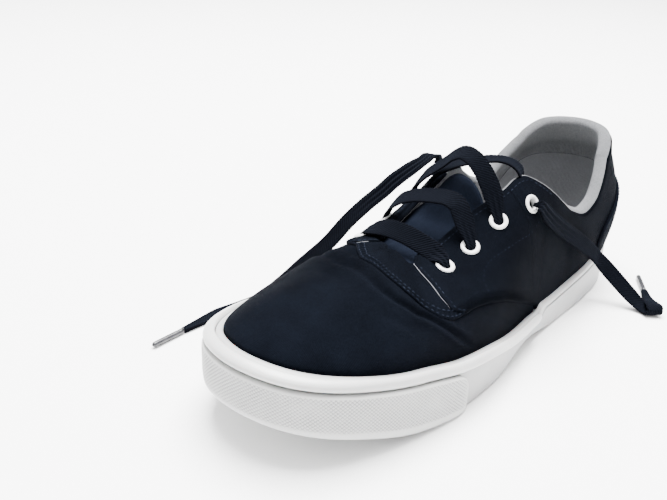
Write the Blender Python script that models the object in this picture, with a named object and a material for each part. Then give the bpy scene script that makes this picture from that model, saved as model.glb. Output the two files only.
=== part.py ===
"""Low canvas skateboarding shoe for the left foot.

The shoe stands on its sole, +X to the toe, +Y to the outer (lateral) side, +Z up, in metres.
One function, LastWall, gives the surface of the last: the upper, the backstay, the tongue, the
eyelets and the laces are all worked out from it.
"""
import bpy
import bmesh
import numpy as np
from mathutils import Matrix, Vector

# Driving dimensions of the last
LAST_LENGTH = 0.281
BALL_WIDTH = 0.092
HEEL_HEIGHT = 0.094
INSTEP_HEIGHT = 0.093

# Sole
HEEL_SOLE = 0.011
FOREFOOT_SOLE = 0.008
TOE_SPRING = 0.019
ARCH_LIFT = 0.005
WALL_HEIGHT = 0.0235
FOXING_THICKNESS = 0.0035
REAR_STEP = 0.003
STRIP_THICKNESS = 0.0027
STRIP_HEIGHT = 0.0057
BUMPER_THICKNESS = 0.0035
STRIP_REAR = 0.405
BUMPER_REAR = 0.69
TOE_RUBBER = 0.0025
TREAD_DEPTH = 0.0015
TREAD_PITCH = 0.012
TREAD_GROOVE = 0.0035
TREAD_MARGIN = 0.006
TREAD_DRAFT = 0.0003
TREAD_END = 0.012
OUTSOLE_INSET = 0.001
OUTSOLE_BEVEL = 0.0012
FOXING_LIFT = 0.0006
FOXING_EDGE = 0.0008
FOXING_GROOVE_DROP = 0.0036
FOXING_GROOVE_DEPTH = 0.0009
FOXING_GROOVE_HALF = 0.0006
STRIP_OVERLAP = 0.0012

# Upper
CANVAS_WALL = 0.0022
QUARTER_STEP = 0.0009
SEAM_LEDGE = 0.0008
SEAM_LOW = 0.003
UPPER_START = 0.0006
TOPLINE_BLEND = 0.003
COLLAR_PAD = 0.0065
COLLAR_PAD_DEPTH = 0.022
THROAT_HALF_WIDTH = 0.014
HEEL_BULGE = 0.0035
HEEL_LEAN = 0.0030
BACKSTAY_WIDTH = 0.026
BACKSTAY_THICKNESS = 0.0016
BACKSTAY_SEAT = 0.0010
BACKSTAY_START = 0.0012
BACKSTAY_BELOW_RIM = 0.007
TONGUE_LIFT = 0.0140
TONGUE_ARCH = 0.0150
TONGUE_ARCH_SIDE = -0.002
TONGUE_RISE = (0.136, 0.152)
TONGUE_THICKNESS = 0.003
TONGUE_HALF_WIDTH = 0.026
TONGUE_GAP = 0.0019
INSOLE_THICKNESS = 0.0045
INSOLE_GAP = 0.0008
INSOLE_EDGE = 0.0012
INSOLE_RIM = 0.003
INSOLE_DISH = 0.0006

# Eyelets and laces
EYELET_SPACING = 0.019
EYELET_FIRST = 0.178
EYELET_HALF_SPAN = 0.0265
EYELET_OUTER = 0.0096
EYELET_HOLE = 0.0052
EYELET_BARREL = 0.0064
EYELET_FLANGE = 0.0009
EYELET_SEAT = 0.00055
EYELET_EDGE = 0.0005
LACE_WIDTH = 0.0092
LACE_THICKNESS = 0.0014
CORD_DIAMETER = 0.0022
AGLET_LENGTH = 0.021
AGLET_DIAMETER = 0.0032
GAP = 0.0003

EYELET_SIDES = 12
COLUMNS = 66
STRIP_COLUMNS = 43
BUMPER_COLUMNS = 33
INSOLE_ROWS = 25
BAR_POINTS = 11
STRAND_POINTS = 12
LATERAL_POINTS = 28
MEDIAL_POINTS = 24

# Outline of the last's bottom edge: share of the length, then half widths as shares of the ball
OUTLINE = (
    # along, lateral, medial
    (0.020, 0.190, 0.176),
    (0.080, 0.322, 0.318),
    (0.184, 0.377, 0.374),
    (0.330, 0.398, 0.361),
    (0.454, 0.431, 0.383),
    (0.579, 0.486, 0.446),
    (0.683, 0.498, 0.505),
    (0.787, 0.461, 0.530),
    (0.880, 0.385, 0.485),
    (0.953, 0.255, 0.375),
    (0.986, 0.120, 0.262),
)
HEEL_TIP = 0.004
TOE_TIP = -0.085

# Bottom of the sole and top of its rubber wall along the last
SOLE = (
    # along, toe spring share, arch share, wall height share, heel thickness share
    (0.00, 0.07, 0.00, 1.06, 1.0),
    (0.05, 0.00, 0.00, 0.98, 1.0),
    (0.12, 0.00, 0.00, 0.90, 1.0),
    (0.31, 0.00, 0.00, 0.72, 1.0),
    (0.46, 0.00, 1.00, 0.56, 0.7),
    (0.60, 0.00, 0.00, 1.02, 0.0),
    (0.70, 0.00, 0.00, 1.20, 0.0),
    (0.80, 0.12, 0.00, 1.33, 0.0),
    (0.90, 0.52, 0.00, 1.24, 0.0),
    (1.00, 1.00, 0.00, 1.135, 0.0),
)

# Section of the toe bumper, from its lower edge to its upper one
BUMPER = (
    # share of the half height, share of the thickness
    (-1.00, 0.70),
    (-0.82, 0.92),
    (-0.30, 1.00),
    (0.40, 1.00),
    (0.90, 0.97),
    (1.00, 0.84),
)

# Heel panel: height share, and half width as a share of half the backstay's width
HEEL_PANEL = (
    # up, half width
    (0.00, 4.35),
    (0.12, 4.60),
    (0.27, 4.70),
    (0.41, 4.60),
    (0.50, 4.20),
    (0.55, 3.30),
    (0.60, 2.00),
    (0.66, 1.15),
    (0.74, 1.00),
    (1.00, 1.00),
)

# Columns of the heel panel, and the heights of its rows as shares of the way up
PANEL_COLUMNS = 17
PANEL_ROWS = (0.0, 0.15, 0.30, 0.43, 0.51, 0.56, 0.61, 0.68, 0.84, 1.0)

# Sections of the last: ridge position and height, how square each side is, and where the seam runs
SECTIONS = (
    # along, ridge along, ridge height share, lateral square, medial square, lateral seam, medial seam
    (0.00, 0.115, 1.34, 4.0, 4.0, 0.00, 0.00),
    (0.12, 0.150, 1.31, 3.9, 3.9, 0.00, 0.00),
    (0.30, 0.300, 1.15, 3.3, 3.3, 0.00, 0.00),
    (0.39, 0.375, 1.02, 3.0, 3.1, 0.01, 0.01),
    (0.44, 0.420, 0.98, 2.83, 3.1, 0.09, 0.09),
    (0.50, 0.475, 0.85, 2.65, 3.1, 0.20, 0.20),
    (0.565, 0.535, 0.735, 2.40, 3.0, 0.29, 0.32),
    (0.63, 0.590, 0.67, 2.20, 2.7, 0.33, 0.50),
    (0.70, 0.630, 0.655, 2.15, 2.4, 0.31, 0.68),
    (0.76, 0.640, 0.655, 2.10, 2.2, 0.43, 0.77),
    (0.84, 0.646, 0.655, 1.95, 1.80, 0.61, 0.80),
    (0.92, 0.648, 0.655, 1.62, 1.55, 0.75, 0.825),
    (1.00, 0.648, 0.655, 1.50, 1.50, 0.83, 0.83),
)

# Top line: height of the collar's edge, and half widths of the throat where they limit instead
TOPLINE = (
    # along, edge height share of the heel height, lateral throat, medial throat
    (0.00, 0.960, 0.60, 0.60),
    (0.05, 0.950, 0.60, 0.60),
    (0.10, 0.890, 0.60, 0.60),
    (0.15, 0.770, 0.60, 0.60),
    (0.20, 0.655, 0.60, 0.60),
    (0.24, 0.620, 1.10, 1.10),
    (0.289, 0.670, 1.60, 1.60),
    (0.327, 0.755, 1.95, 1.95),
    (0.353, 0.820, 1.90, 1.85),
    (0.378, 0.880, 1.68, 1.66),
    (0.400, 0.930, 1.50, 1.56),
    (0.440, 1.060, 1.26, 1.52),
    (0.470, 1.200, 1.20, 1.50),
    (0.500, 1.400, 1.08, 1.50),
    (0.560, 1.500, 0.92, 1.40),
    (0.650, 1.500, 0.92, 1.15),
    (0.700, 1.500, 1.02, 0.90),
    (0.745, 1.500, 1.42, 0.55),
    (0.762, 1.500, 1.40, 0.50),
    (0.806, 1.500, 0.74, 0.45),
    (0.860, 1.500, 0.45, 0.42),
    (1.000, 1.500, 0.42, 0.42),
)

# Sideways place of the instep's ridge, as a share of the ball width
RIDGE = (
    # along, side
    (0.00, 0.000),
    (0.25, 0.020),
    (0.36, 0.036),
    (0.43, 0.034),
    (0.50, -0.022),
    (0.58, -0.056),
    (0.65, -0.070),
    (1.00, -0.070),
)

# Eyelet rows from the toe end: share of the half span between the two rows
EYELETS = (
    # row, lateral span, medial span
    (0, 1.00, 0.90),
    (1, 0.99, 0.98),
    (2, 0.99, 1.02),
    (3, 1.03, 0.95),
)

# Lace crossings: eyelet row, extra height at the ends, and slack in the middle
BARS = (
    (1, 0.0003, 0.0035),
    (2, 0.0004, 0.0120),
    (3, 0.0002, 0.0210),
)

# Lace that crosses behind the top bar, in millimetres from the heel of the last
STRAND = (
    (135.0, -13.0, 88.5),
    (129.0, -7.0, 92.5),
    (123.5, 2.0, 95.5),
    (119.0, 10.0, 96.5),
    (115.0, 14.8, 95.0),
    (113.2, 17.6, 90.5),
    (112.8, 17.6, 85.0),
)

# Free lace ends: points in millimetres from the heel of the last, chosen by hand
LATERAL_END = (
    (121.4, 33.5, 78.2),
    (121.2, 36.6, 78.2),
    (117.2, 38.0, 74.2),
    (110.3, 38.6, 68.6),
    (102.2, 39.0, 62.9),
    (90.2, 39.3, 55.2),
    (79.9, 40.0, 48.6),
    (68.5, 40.8, 41.2),
    (58.4, 41.8, 34.0),
    (50.8, 43.2, 27.4),
    (47.0, 48.4, 21.0),
    (44.2, 55.2, 14.2),
    (42.0, 62.6, 7.6),
    (41.0, 69.0, 3.0),
    (41.5, 73.4, 1.4),
    (43.2, 76.6, 1.9),
    (43.6, 78.5, 4.1),
    (41.6, 77.2, 5.9),
    (36.9, 73.7, 5.0),
    (31.2, 69.7, 3.2),
    (25.7, 66.1, 2.2),
    (19.8, 62.3, 2.1),
)
MEDIAL_END = (
    (122.2, -24.8, 85.6),
    (123.4, -27.4, 88.4),
    (128.0, -28.2, 90.4),
    (133.5, -28.6, 88.6),
    (139.0, -32.0, 84.6),
    (146.0, -37.0, 78.4),
    (152.0, -40.8, 72.2),
    (158.0, -45.8, 65.4),
    (166.0, -51.8, 55.6),
    (174.0, -58.4, 43.0),
    (182.0, -68.6, 29.3),
    (190.0, -80.0, 14.5),
    (197.5, -89.5, 4.4),
    (207.0, -95.6, 1.3),
    (219.0, -97.4, 1.2),
    (232.0, -96.9, 1.4),
    (245.6, -95.9, 1.7),
)

COLOURS = {
    # red, green, blue, roughness
    "canvas": (0.014, 0.018, 0.034, 0.85),
    "webbing": (0.018, 0.022, 0.036, 0.85),
    "white_rubber": (0.78, 0.78, 0.77, 0.45),
    "outsole_rubber": (0.72, 0.72, 0.70, 0.55),
    "lining": (0.50, 0.51, 0.53, 0.90),
    "lace": (0.008, 0.009, 0.013, 0.90),
    "eyelet": (0.80, 0.80, 0.80, 0.35),
    "aglet": (0.010, 0.010, 0.012, 0.30),
}


def column(table, index):
    """One named column of a table, against its first column."""
    return np.array([row[0] for row in table]), np.array([row[index] for row in table])


def smooth(table, index, at):
    """Read a table with a curve that keeps each level stretch level and never overshoots."""
    xs, ys = column(table, index)
    steps = np.diff(xs)
    slopes = np.diff(ys) / steps
    tangents = np.zeros_like(ys)
    for i in range(1, len(xs) - 1):
        if slopes[i - 1] * slopes[i] > 0:
            tangents[i] = 2 * slopes[i - 1] * slopes[i] / (slopes[i - 1] + slopes[i])
    tangents[0] = slopes[0]
    tangents[-1] = slopes[-1]
    at = np.clip(np.asarray(at, float), xs[0], xs[-1])
    k = np.clip(np.searchsorted(xs, at, side="right") - 1, 0, len(steps) - 1)
    t = (at - xs[k]) / steps[k]
    return (
        ys[k] * (2 * t**3 - 3 * t**2 + 1)
        + tangents[k] * steps[k] * (t**3 - 2 * t**2 + t)
        + ys[k + 1] * (3 * t**2 - 2 * t**3)
        + tangents[k + 1] * steps[k] * (t**3 - t**2)
    )


def ramp(value, start, end):
    """0 before start, 1 after end, and a smooth step between."""
    t = np.clip((np.asarray(value, float) - start) / (end - start), 0, 1)
    return t * t * (3 - 2 * t)


def soft_least(one, other, blend):
    """The smaller of two lengths, rounded over a blend where they meet."""
    low = min(one, other)
    return low - blend * np.log(np.exp((low - one) / blend) + np.exp((low - other) / blend))


def spline(points, count, closed=False):
    """Points at even distances along a smooth curve through the given points."""
    pts = np.asarray(points, float)
    if closed:
        ring = np.vstack([pts[-1:], pts, pts[:2]])
    else:
        ring = np.vstack([2 * pts[0] - pts[1], pts, 2 * pts[-1] - pts[-2]])
    fine = []
    for a, b, c, d in zip(ring[:-3], ring[1:-2], ring[2:-1], ring[3:]):
        knots = np.cumsum([0] + [np.linalg.norm(q - p) ** 0.5 for p, q in ((a, b), (b, c), (c, d))])
        u = np.linspace(knots[1], knots[2], 24, endpoint=False)[:, None]
        ab = ((knots[1] - u) * a + (u - knots[0]) * b) / (knots[1] - knots[0])
        bc = ((knots[2] - u) * b + (u - knots[1]) * c) / (knots[2] - knots[1])
        cd = ((knots[3] - u) * c + (u - knots[2]) * d) / (knots[3] - knots[2])
        abc = ((knots[2] - u) * ab + (u - knots[0]) * bc) / (knots[2] - knots[0])
        bcd = ((knots[3] - u) * bc + (u - knots[1]) * cd) / (knots[3] - knots[1])
        fine.append(((knots[2] - u) * abc + (u - knots[1]) * bcd) / (knots[2] - knots[1]))
    fine = np.vstack(fine + [fine[0][:1] if closed else pts[-1:]])
    length = np.concatenate([[0], np.cumsum(np.linalg.norm(np.diff(fine, axis=0), axis=1))])
    at = np.linspace(0, length[-1], count + 1)[:-1] if closed else np.linspace(0, length[-1], count)
    return np.column_stack([np.interp(at, length, fine[:, i]) for i in range(fine.shape[1])])


def feather(count):
    """The last's bottom outline, from the heel along the lateral side, and its outward normals."""
    lateral = [(row[0] * LAST_LENGTH, row[1] * BALL_WIDTH) for row in OUTLINE]
    medial = [(row[0] * LAST_LENGTH, -row[2] * BALL_WIDTH) for row in OUTLINE]
    tips = [(0, HEEL_TIP * BALL_WIDTH)], [(LAST_LENGTH, TOE_TIP * BALL_WIDTH)]
    points = spline(tips[0] + lateral + tips[1] + medial[::-1], count, closed=True)
    along = np.roll(points, -1, axis=0) - np.roll(points, 1, axis=0)
    along /= np.linalg.norm(along, axis=1)[:, None]
    return points, np.column_stack([-along[:, 1], along[:, 0]])


def bottom_height(share):
    """Height of the sole's bottom: level under the heel and the ball, sprung at the toe."""
    return TOE_SPRING * smooth(SOLE, 1, share) + ARCH_LIFT * smooth(SOLE, 2, share)


def outsole_top(share):
    """Height of the outsole's upper face, which the upper and the insole stand on."""
    thick = FOREFOOT_SOLE + (HEEL_SOLE - FOREFOOT_SOLE) * smooth(SOLE, 4, share)
    return bottom_height(share) + thick


def strip_top(share):
    """Height of the rubber wall's top edge in front of the waist step."""
    return bottom_height(share) + WALL_HEIGHT * smooth(SOLE, 3, share)


def foxing_top(share):
    """Top of the foxing: a step higher behind the waist, just under the strip in front of it."""
    behind = 1 - ramp(share, STRIP_REAR - 0.012, STRIP_REAR + 0.012)
    return strip_top(share) + REAR_STEP * behind - STRIP_OVERLAP * (1 - behind)


def rubber_top(share):
    """Height at which the upper comes out of the rubber."""
    return np.maximum(foxing_top(share), strip_top(share) * (np.asarray(share) > STRIP_REAR + 0.005))


class LastWall:
    """Columns of the last's surface, each a curve from the bottom edge up to the ridge."""

    SAMPLES = 240

    def __init__(self, count):
        self.edge, self.normal = feather(count)
        self.share = self.edge[:, 0] / LAST_LENGTH
        share = self.share[:, None]
        ridge = np.column_stack([
            LAST_LENGTH * smooth(SECTIONS, 1, self.share),
            self.ridge_side(LAST_LENGTH * smooth(SECTIONS, 1, self.share)),
        ])
        self.base = rubber_top(self.share)
        self.seam = self.by_side(SECTIONS, 5, 6)
        power = 2 / self.by_side(SECTIONS, 3, 4)[:, None]
        angle = np.linspace(0, np.pi / 2, self.SAMPLES)[None, :]
        inward = 1 - np.clip(np.cos(angle), 0, 1) ** power
        height = INSTEP_HEIGHT * smooth(SECTIONS, 2, share)
        plan = self.edge[:, None, :] + (ridge - self.edge)[:, None, :] * inward[:, :, None]
        z = self.base[:, None] + (height - self.base[:, None]) * np.sin(angle) ** power
        rear = 1 - ramp(share, 0.10, 0.34)
        lift = (z - self.base[:, None]) / (HEEL_HEIGHT - self.base[:, None])
        bulge = HEEL_BULGE * np.sin(np.pi * np.clip(lift * 1.25, 0, 1))
        push = bulge - HEEL_LEAN * ramp(lift, 0.35, 1.05)
        plan = plan + (rear * push)[:, :, None] * self.normal[:, None, :]
        self.curve = np.dstack([plan, z])
        steps = np.linalg.norm(np.diff(self.curve, axis=1), axis=2)
        self.length = np.concatenate([np.zeros((count, 1)), np.cumsum(steps, axis=1)], axis=1)
        self.span = np.linalg.norm(self.curve[:, :, :2] - ridge[:, None, :], axis=2)
        self.top = self.top_length()
        gaps = np.roll(self.edge, -1, axis=0) - self.edge
        self.edge_length = np.linalg.norm(gaps, axis=1).sum()

    def by_side(self, table, lateral, medial):
        """Two columns of a table, blended where the outline crosses from side to side."""
        side = ramp(self.edge[:, 1] / BALL_WIDTH, -0.25, 0.15)
        both = smooth(table, lateral, self.share), smooth(table, medial, self.share)
        return both[0] * side + both[1] * (1 - side)

    @staticmethod
    def ridge_side(x):
        """Sideways place of the ridge: outwards at the collar, inwards towards the toe."""
        return BALL_WIDTH * smooth(RIDGE, 1, np.asarray(x) / LAST_LENGTH)

    def top_length(self):
        """Length along each column at which the collar or the throat cuts it."""
        edge = HEEL_HEIGHT * smooth(TOPLINE, 1, self.share)
        half = THROAT_HALF_WIDTH * self.by_side(TOPLINE, 2, 3)
        found = []
        for i in range(len(edge)):
            by_height = np.interp(edge[i], self.curve[i, :, 2], self.length[i])
            if edge[i] > self.curve[i, -1, 2]:
                by_height = self.length[i, -1] + 0.02
            by_width = np.interp(-half[i], -self.span[i], self.length[i])
            found.append(soft_least(by_height, by_width, TOPLINE_BLEND))
        return np.array(found)

    def at(self, lengths):
        """Points at the given lengths, one row of lengths for each column."""
        out = np.empty(lengths.shape + (3,))
        for i in range(len(lengths)):
            for k in range(3):
                out[i, :, k] = np.interp(lengths[i], self.length[i], self.curve[i, :, k])
        return out


def grid_normals(grid, closed):
    """Outward unit normals of a grid of columns and rows."""
    if closed:
        across = np.roll(grid, -1, axis=0) - np.roll(grid, 1, axis=0)
    else:
        across = np.gradient(grid, axis=0)
    up = np.gradient(grid, axis=1)
    normal = np.cross(up, across)
    return normal / (np.linalg.norm(normal, axis=2)[:, :, None] + 1e-12)


# The last's surface at close steps, for what is placed by its plan position
FINE = LastWall(360)
FINE_GRID = FINE.at(FINE.length[:, -1:] * np.linspace(0, 1, 160)[None, :] ** 0.8)
FINE_NORMAL = grid_normals(FINE_GRID, True)
FRONT_BUILD = FOXING_THICKNESS + BUMPER_THICKNESS + TOE_RUBBER + 2 * GAP
HEEL_BUILD = QUARTER_STEP + BACKSTAY_SEAT + BACKSTAY_THICKNESS
ORIGIN_X = (LAST_LENGTH + FRONT_BUILD + FINE_GRID[:, :, 0].min() - HEEL_BUILD) / 2
ORIGIN_Y = (FINE.edge[:, 1].max() + FINE.edge[:, 1].min()) / 2


def surface(x, y, away=0.0):
    """Point of the last's surface above a plan position, moved out by a distance, and its normal."""
    flat = FINE_GRID.reshape(-1, 3)
    near = np.argmin((flat[:, 0] - x) ** 2 + (flat[:, 1] - y) ** 2)
    normal = FINE_NORMAL.reshape(-1, 3)[near]
    if normal[2] < 0.1:
        return flat[near] + normal * away, normal
    z = flat[near, 2] - (normal[0] * (x - flat[near, 0]) + normal[1] * (y - flat[near, 1])) / normal[2]
    return np.array([x, y, z]) + normal * away, normal


def world(points):
    """From the last's own frame to the shoe's, whose origin is under the middle of its box."""
    return np.asarray(points, float) - np.array([ORIGIN_X, ORIGIN_Y, 0.0])


def clear_scene():
    for item in list(bpy.data.objects):
        bpy.data.objects.remove(item, do_unlink=True)
    for name in ("skate_shoe", "cutters"):
        old = bpy.data.collections.get(name)
        if old:
            bpy.data.collections.remove(old)


def collection(name):
    made = bpy.data.collections.new(name)
    bpy.context.scene.collection.children.link(made)
    return made


def material(name):
    found = bpy.data.materials.get(name)
    if found:
        return found
    made = bpy.data.materials.new(name)
    made.use_nodes = True
    red, green, blue, rough = COLOURS[name]
    shader = made.node_tree.nodes["Principled BSDF"]
    shader.inputs["Base Color"].default_value = (red, green, blue, 1)
    shader.inputs["Roughness"].default_value = rough
    shader.inputs["Metallic"].default_value = 0.0
    return made


def add_mesh(name, points, faces, finish, group):
    """Make an object from points and faces, with its faces turned outwards."""
    mesh = bpy.data.meshes.new(name)
    bm = bmesh.new()
    verts = [bm.verts.new(tuple(p)) for p in world(points)]
    for face in faces:
        bm.faces.new([verts[i] for i in face])
    bmesh.ops.recalc_face_normals(bm, faces=bm.faces)
    if bm.calc_volume(signed=True) < 0:
        bmesh.ops.reverse_faces(bm, faces=bm.faces)
    bm.to_mesh(mesh)
    bm.free()
    mesh.materials.append(material(finish))
    mesh.shade_smooth()
    mesh.set_sharp_from_angle(angle=0.7)
    obj = bpy.data.objects.new(name, mesh)
    group.objects.link(obj)
    return obj


def ring_faces(columns, rows, closed):
    """Faces of a loft whose sections are closed loops; an open run gets a cap at each end."""
    faces = []
    for i in range(columns if closed else columns - 1):
        j = (i + 1) % columns
        for k in range(rows):
            m = (k + 1) % rows
            faces.append((i * rows + k, j * rows + k, j * rows + m, i * rows + m))
    if not closed:
        faces.append(tuple(range(rows)))
        faces.append(tuple((columns - 1) * rows + k for k in range(rows)))
    return faces


def loft(name, grid, closed, finish, group):
    """Solid through a grid of closed sections."""
    columns, rows = grid.shape[:2]
    return add_mesh(name, grid.reshape(-1, 3), ring_faces(columns, rows, closed), finish, group)


def slab(name, outer, inner, finish, group):
    """Closed sheet between two open grids of the same size."""
    sections = np.concatenate([outer, inner[:, ::-1]], axis=1)
    return loft(name, sections, False, finish, group)


def make_upper(group):
    """Hollow canvas upper: one wall from the sole, over the padded collar and down inside."""
    wall = LastWall(COLUMNS)
    share = wall.share[:, None]
    seam = (wall.top * wall.seam)[:, None]
    rise = np.maximum(seam, SEAM_LOW) - UPPER_START
    low = UPPER_START + rise * np.linspace(0, 1, 6)[None, :]
    edge = low[:, -1:] + SEAM_LEDGE
    high = edge + (wall.top[:, None] - edge) * (np.linspace(0, 1, 8)[None, :] ** 0.9)
    lengths = np.concatenate([low, high], axis=1)
    base = wall.at(lengths)
    normal = grid_normals(base, True)
    fade = ramp(share, 0.38, 0.46)
    step = np.concatenate([
        QUARTER_STEP * (1 - fade) * np.linspace(0, 1, 6)[None, :] ** 0.5,
        np.full((COLUMNS, 8), QUARTER_STEP),
    ], axis=1)
    outer = base + normal * step[:, :, None]
    below = wall.top[:, None] - lengths
    padded = 1 - ramp(share, 0.27, 0.37)
    pad = COLLAR_PAD * padded * (1 - ramp(below, 0.25 * COLLAR_PAD_DEPTH, COLLAR_PAD_DEPTH))
    thick = CANVAS_WALL + np.maximum(pad - CANVAS_WALL, 0)
    keep = [2, 5, 7, 9, 10, 11, 12, 13]
    inner = (base - normal * thick[:, :, None])[:, keep]
    foot = np.dstack([wall.edge[:, None, :], (outsole_top(wall.share) + GAP)[:, None, None]])
    outer_base = np.dstack([wall.edge[:, None, :], base[:, :1, 2:]])
    inward = np.column_stack([wall.normal, np.zeros(COLUMNS)])[:, None, :]
    inner_foot = foot - inward * CANVAS_WALL
    inner_base = outer_base - inward * CANVAS_WALL
    outer = np.concatenate([foot, outer_base, outer[:, 1:]], axis=1)
    inner = np.concatenate([inner_foot, inner_base, inner], axis=1)
    middle = (outer[:, -1:] + inner[:, -1:]) / 2
    half = (outer[:, -1:] - inner[:, -1:]) / 2
    rise = base[:, -1:] - base[:, -2:-1]
    rise *= np.linalg.norm(half, axis=2)[:, :, None] / np.linalg.norm(rise, axis=2)[:, :, None]
    rim = [middle + half * np.cos(a) + rise * np.sin(a) for a in np.radians((45, 90, 135))]
    grid = np.concatenate([outer] + rim + [inner[:, ::-1]], axis=1)
    return loft("upper", grid, True, "canvas", group)


def wall_run(first, last, count, table_wall):
    """Columns between two shares of the way round the outline, evenly spaced."""
    where = (np.linspace(first, last, count) * len(table_wall.edge)) % len(table_wall.edge)
    low = np.floor(where).astype(int)
    part = where - low
    nxt = (low + 1) % len(table_wall.edge)

    def mix(values):
        weight = part.reshape((-1,) + (1,) * (values.ndim - 1))
        return values[low] * (1 - weight) + values[nxt] * weight

    return mix


def sole_band(name, first, last, count, rows, finish, group, closed=False):
    """Rubber band round the sole; rows give distance out and height for each share."""
    mix = wall_run(first, last, count, FINE)
    if closed:
        edge, normal = feather(count)
    else:
        edge, normal = mix(FINE.edge), mix(FINE.normal)
        normal /= np.linalg.norm(normal, axis=1)[:, None]
    share = edge[:, 0] / LAST_LENGTH
    end = np.ones(count)
    if not closed:
        run = np.linspace(0, 1, count)
        fade = 0.025
        end = np.sqrt(np.clip(1 - (1 - np.clip(np.minimum(run, 1 - run) / fade, 0, 1)) ** 2, 0.02, 1))
    sections = []
    for out, up in rows(share, end):
        plan = edge + normal * out[:, None]
        sections.append(np.column_stack([plan, up]))
    return loft(name, np.stack(sections, axis=1), closed, finish, group)


def foxing_rows(share, end):
    """Flat rubber tape with a shallow groove under its top edge behind the waist."""
    bottom = bottom_height(share) + FOXING_LIFT
    top = foxing_top(share)
    behind = 1 - ramp(share, STRIP_REAR - 0.03, STRIP_REAR)
    inside = np.full_like(share, GAP)
    out = inside + FOXING_THICKNESS
    groove = top - FOXING_GROOVE_DROP
    yield inside, bottom
    yield out - FOXING_EDGE, bottom
    yield out, bottom + FOXING_EDGE
    yield out, groove - FOXING_GROOVE_HALF
    yield out - FOXING_GROOVE_DEPTH * behind, groove
    yield out, groove + FOXING_GROOVE_HALF
    yield out, top - FOXING_EDGE
    yield out - FOXING_EDGE, top
    yield inside, top


def toe_rubber(share, thickness):
    """Thickness of a front band, which grows round the tip of the toe."""
    return thickness + TOE_RUBBER * ramp(share, 0.84, 0.99)


def strip_rows(share, end):
    """Rounded rubber strip that runs above the bumper, from waist to waist round the toe."""
    inside = np.full_like(share, FOXING_THICKNESS + 2 * GAP)
    top = strip_top(share)
    bottom = top - STRIP_HEIGHT
    middle = (top + bottom) / 2
    reach = middle - (middle - bottom) * end
    for angle in np.radians((-90, -50, -15, 20, 55, 90)):
        out = toe_rubber(share, STRIP_THICKNESS) * end * np.cos(angle)
        yield inside + out, middle + (middle - reach) * np.sin(angle)


def bumper_rows(share, end):
    """Thick moulded toe bumper below the strip, full in the middle and thinner at its edges."""
    inside = np.full_like(share, FOXING_THICKNESS + 2 * GAP)
    top = strip_top(share) - STRIP_HEIGHT - GAP
    bottom = bottom_height(share) + FOXING_LIFT
    half = (top - bottom) / 2 * (0.35 + 0.65 * end)
    middle = bottom + half
    yield inside, middle - half
    for up, thick in BUMPER:
        yield inside + toe_rubber(share, BUMPER_THICKNESS) * thick * end, middle + half * up
    yield inside, middle + half


def round_share(share, side):
    """Share of the way round the outline at which a side reaches a share of the length."""
    toe = np.argmax(FINE.share)
    order = np.arange(0, toe) if side > 0 else np.arange(len(FINE.edge) - 1, toe, -1)
    return np.interp(share, FINE.share[order], order) / len(FINE.edge)


def plan_sides(inset):
    """The last's outline moved in by a distance, as a lateral and a medial run from heel to toe."""
    edge, normal = feather(720)
    edge = edge - normal * inset
    heel, toe = np.argmin(edge[:, 0]), np.argmax(edge[:, 0])
    order = np.roll(np.arange(len(edge)), -heel)
    split = int(np.where(order == toe)[0][0])
    return edge[order[:split + 1]], np.vstack([edge[heel], edge[order[split:]][::-1]])


def make_outsole(group):
    """Rubber outsole with cross grooves, level under heel and ball."""
    lateral, medial = plan_sides(OUTSOLE_INSET)
    back, front = lateral[0, 0] + GAP, lateral[-1, 0] - GAP
    level = front - back - 2 * TREAD_END - TREAD_GROOVE
    grooves = int(level / TREAD_PITCH)
    turns = np.linspace(0, np.pi / 2, 7)
    xs = [(back + TREAD_END * (1 - np.cos(turn)), 0) for turn in turns[:-1]]
    for i in range(grooves + 1):
        x = back + TREAD_END + level * i / grooves
        xs += [(x, 0), (x + TREAD_DRAFT, 1), (x + TREAD_GROOVE - TREAD_DRAFT, 1), (x + TREAD_GROOVE, 0)]
    xs += [(front - TREAD_END * (1 - np.cos(turn)), 0) for turn in turns[::-1][1:]]
    rows = []
    for x, deep in xs:
        left = np.interp(x, lateral[:, 0], lateral[:, 1])
        right = np.interp(x, medial[:, 0], medial[:, 1])
        bottom = float(bottom_height(x / LAST_LENGTH))
        top = float(outsole_top(x / LAST_LENGTH))
        bevel = min(OUTSOLE_BEVEL, (left - right) * 0.2)
        margin = min(TREAD_MARGIN, (left - right) * 0.3)
        floor = bottom + TREAD_DEPTH * deep
        rows.append([
            (x, left, top), (x, left, bottom + OUTSOLE_BEVEL), (x, left - bevel, bottom),
            (x, left - margin, bottom), (x, left - margin - TREAD_DRAFT, floor),
            (x, right + margin + TREAD_DRAFT, floor), (x, right + margin, bottom),
            (x, right + bevel, bottom), (x, right, bottom + OUTSOLE_BEVEL), (x, right, top),
        ])
    return loft("outsole", np.array(rows), False, "outsole_rubber", group)


def make_insole(group):
    """Padded footbed inside the upper, lying on the outsole."""
    lateral, medial = plan_sides(CANVAS_WALL + 2.5 * GAP)
    middle = (lateral[0, 0] + lateral[-1, 0]) / 2
    half = (lateral[-1, 0] - lateral[0, 0]) / 2 - 2 * GAP
    rows = []
    for turn in np.linspace(np.pi, 0, INSOLE_ROWS):
        x = middle + half * np.cos(turn)
        left = np.interp(x, lateral[:, 0], lateral[:, 1])
        right = np.interp(x, medial[:, 0], medial[:, 1])
        bottom = float(outsole_top(x / LAST_LENGTH)) + INSOLE_GAP
        top = bottom + INSOLE_THICKNESS
        rim = min(INSOLE_RIM, (left - right) * 0.2)
        rows.append([
            (x, left, bottom), (x, left, top - INSOLE_EDGE), (x, left - rim, top + INSOLE_DISH),
            (x, (left + right) / 2, top - INSOLE_DISH),
            (x, right + rim, top + INSOLE_DISH), (x, right, top - INSOLE_EDGE), (x, right, bottom),
        ])
    return loft("insole", np.array(rows), False, "lining", group)


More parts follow.
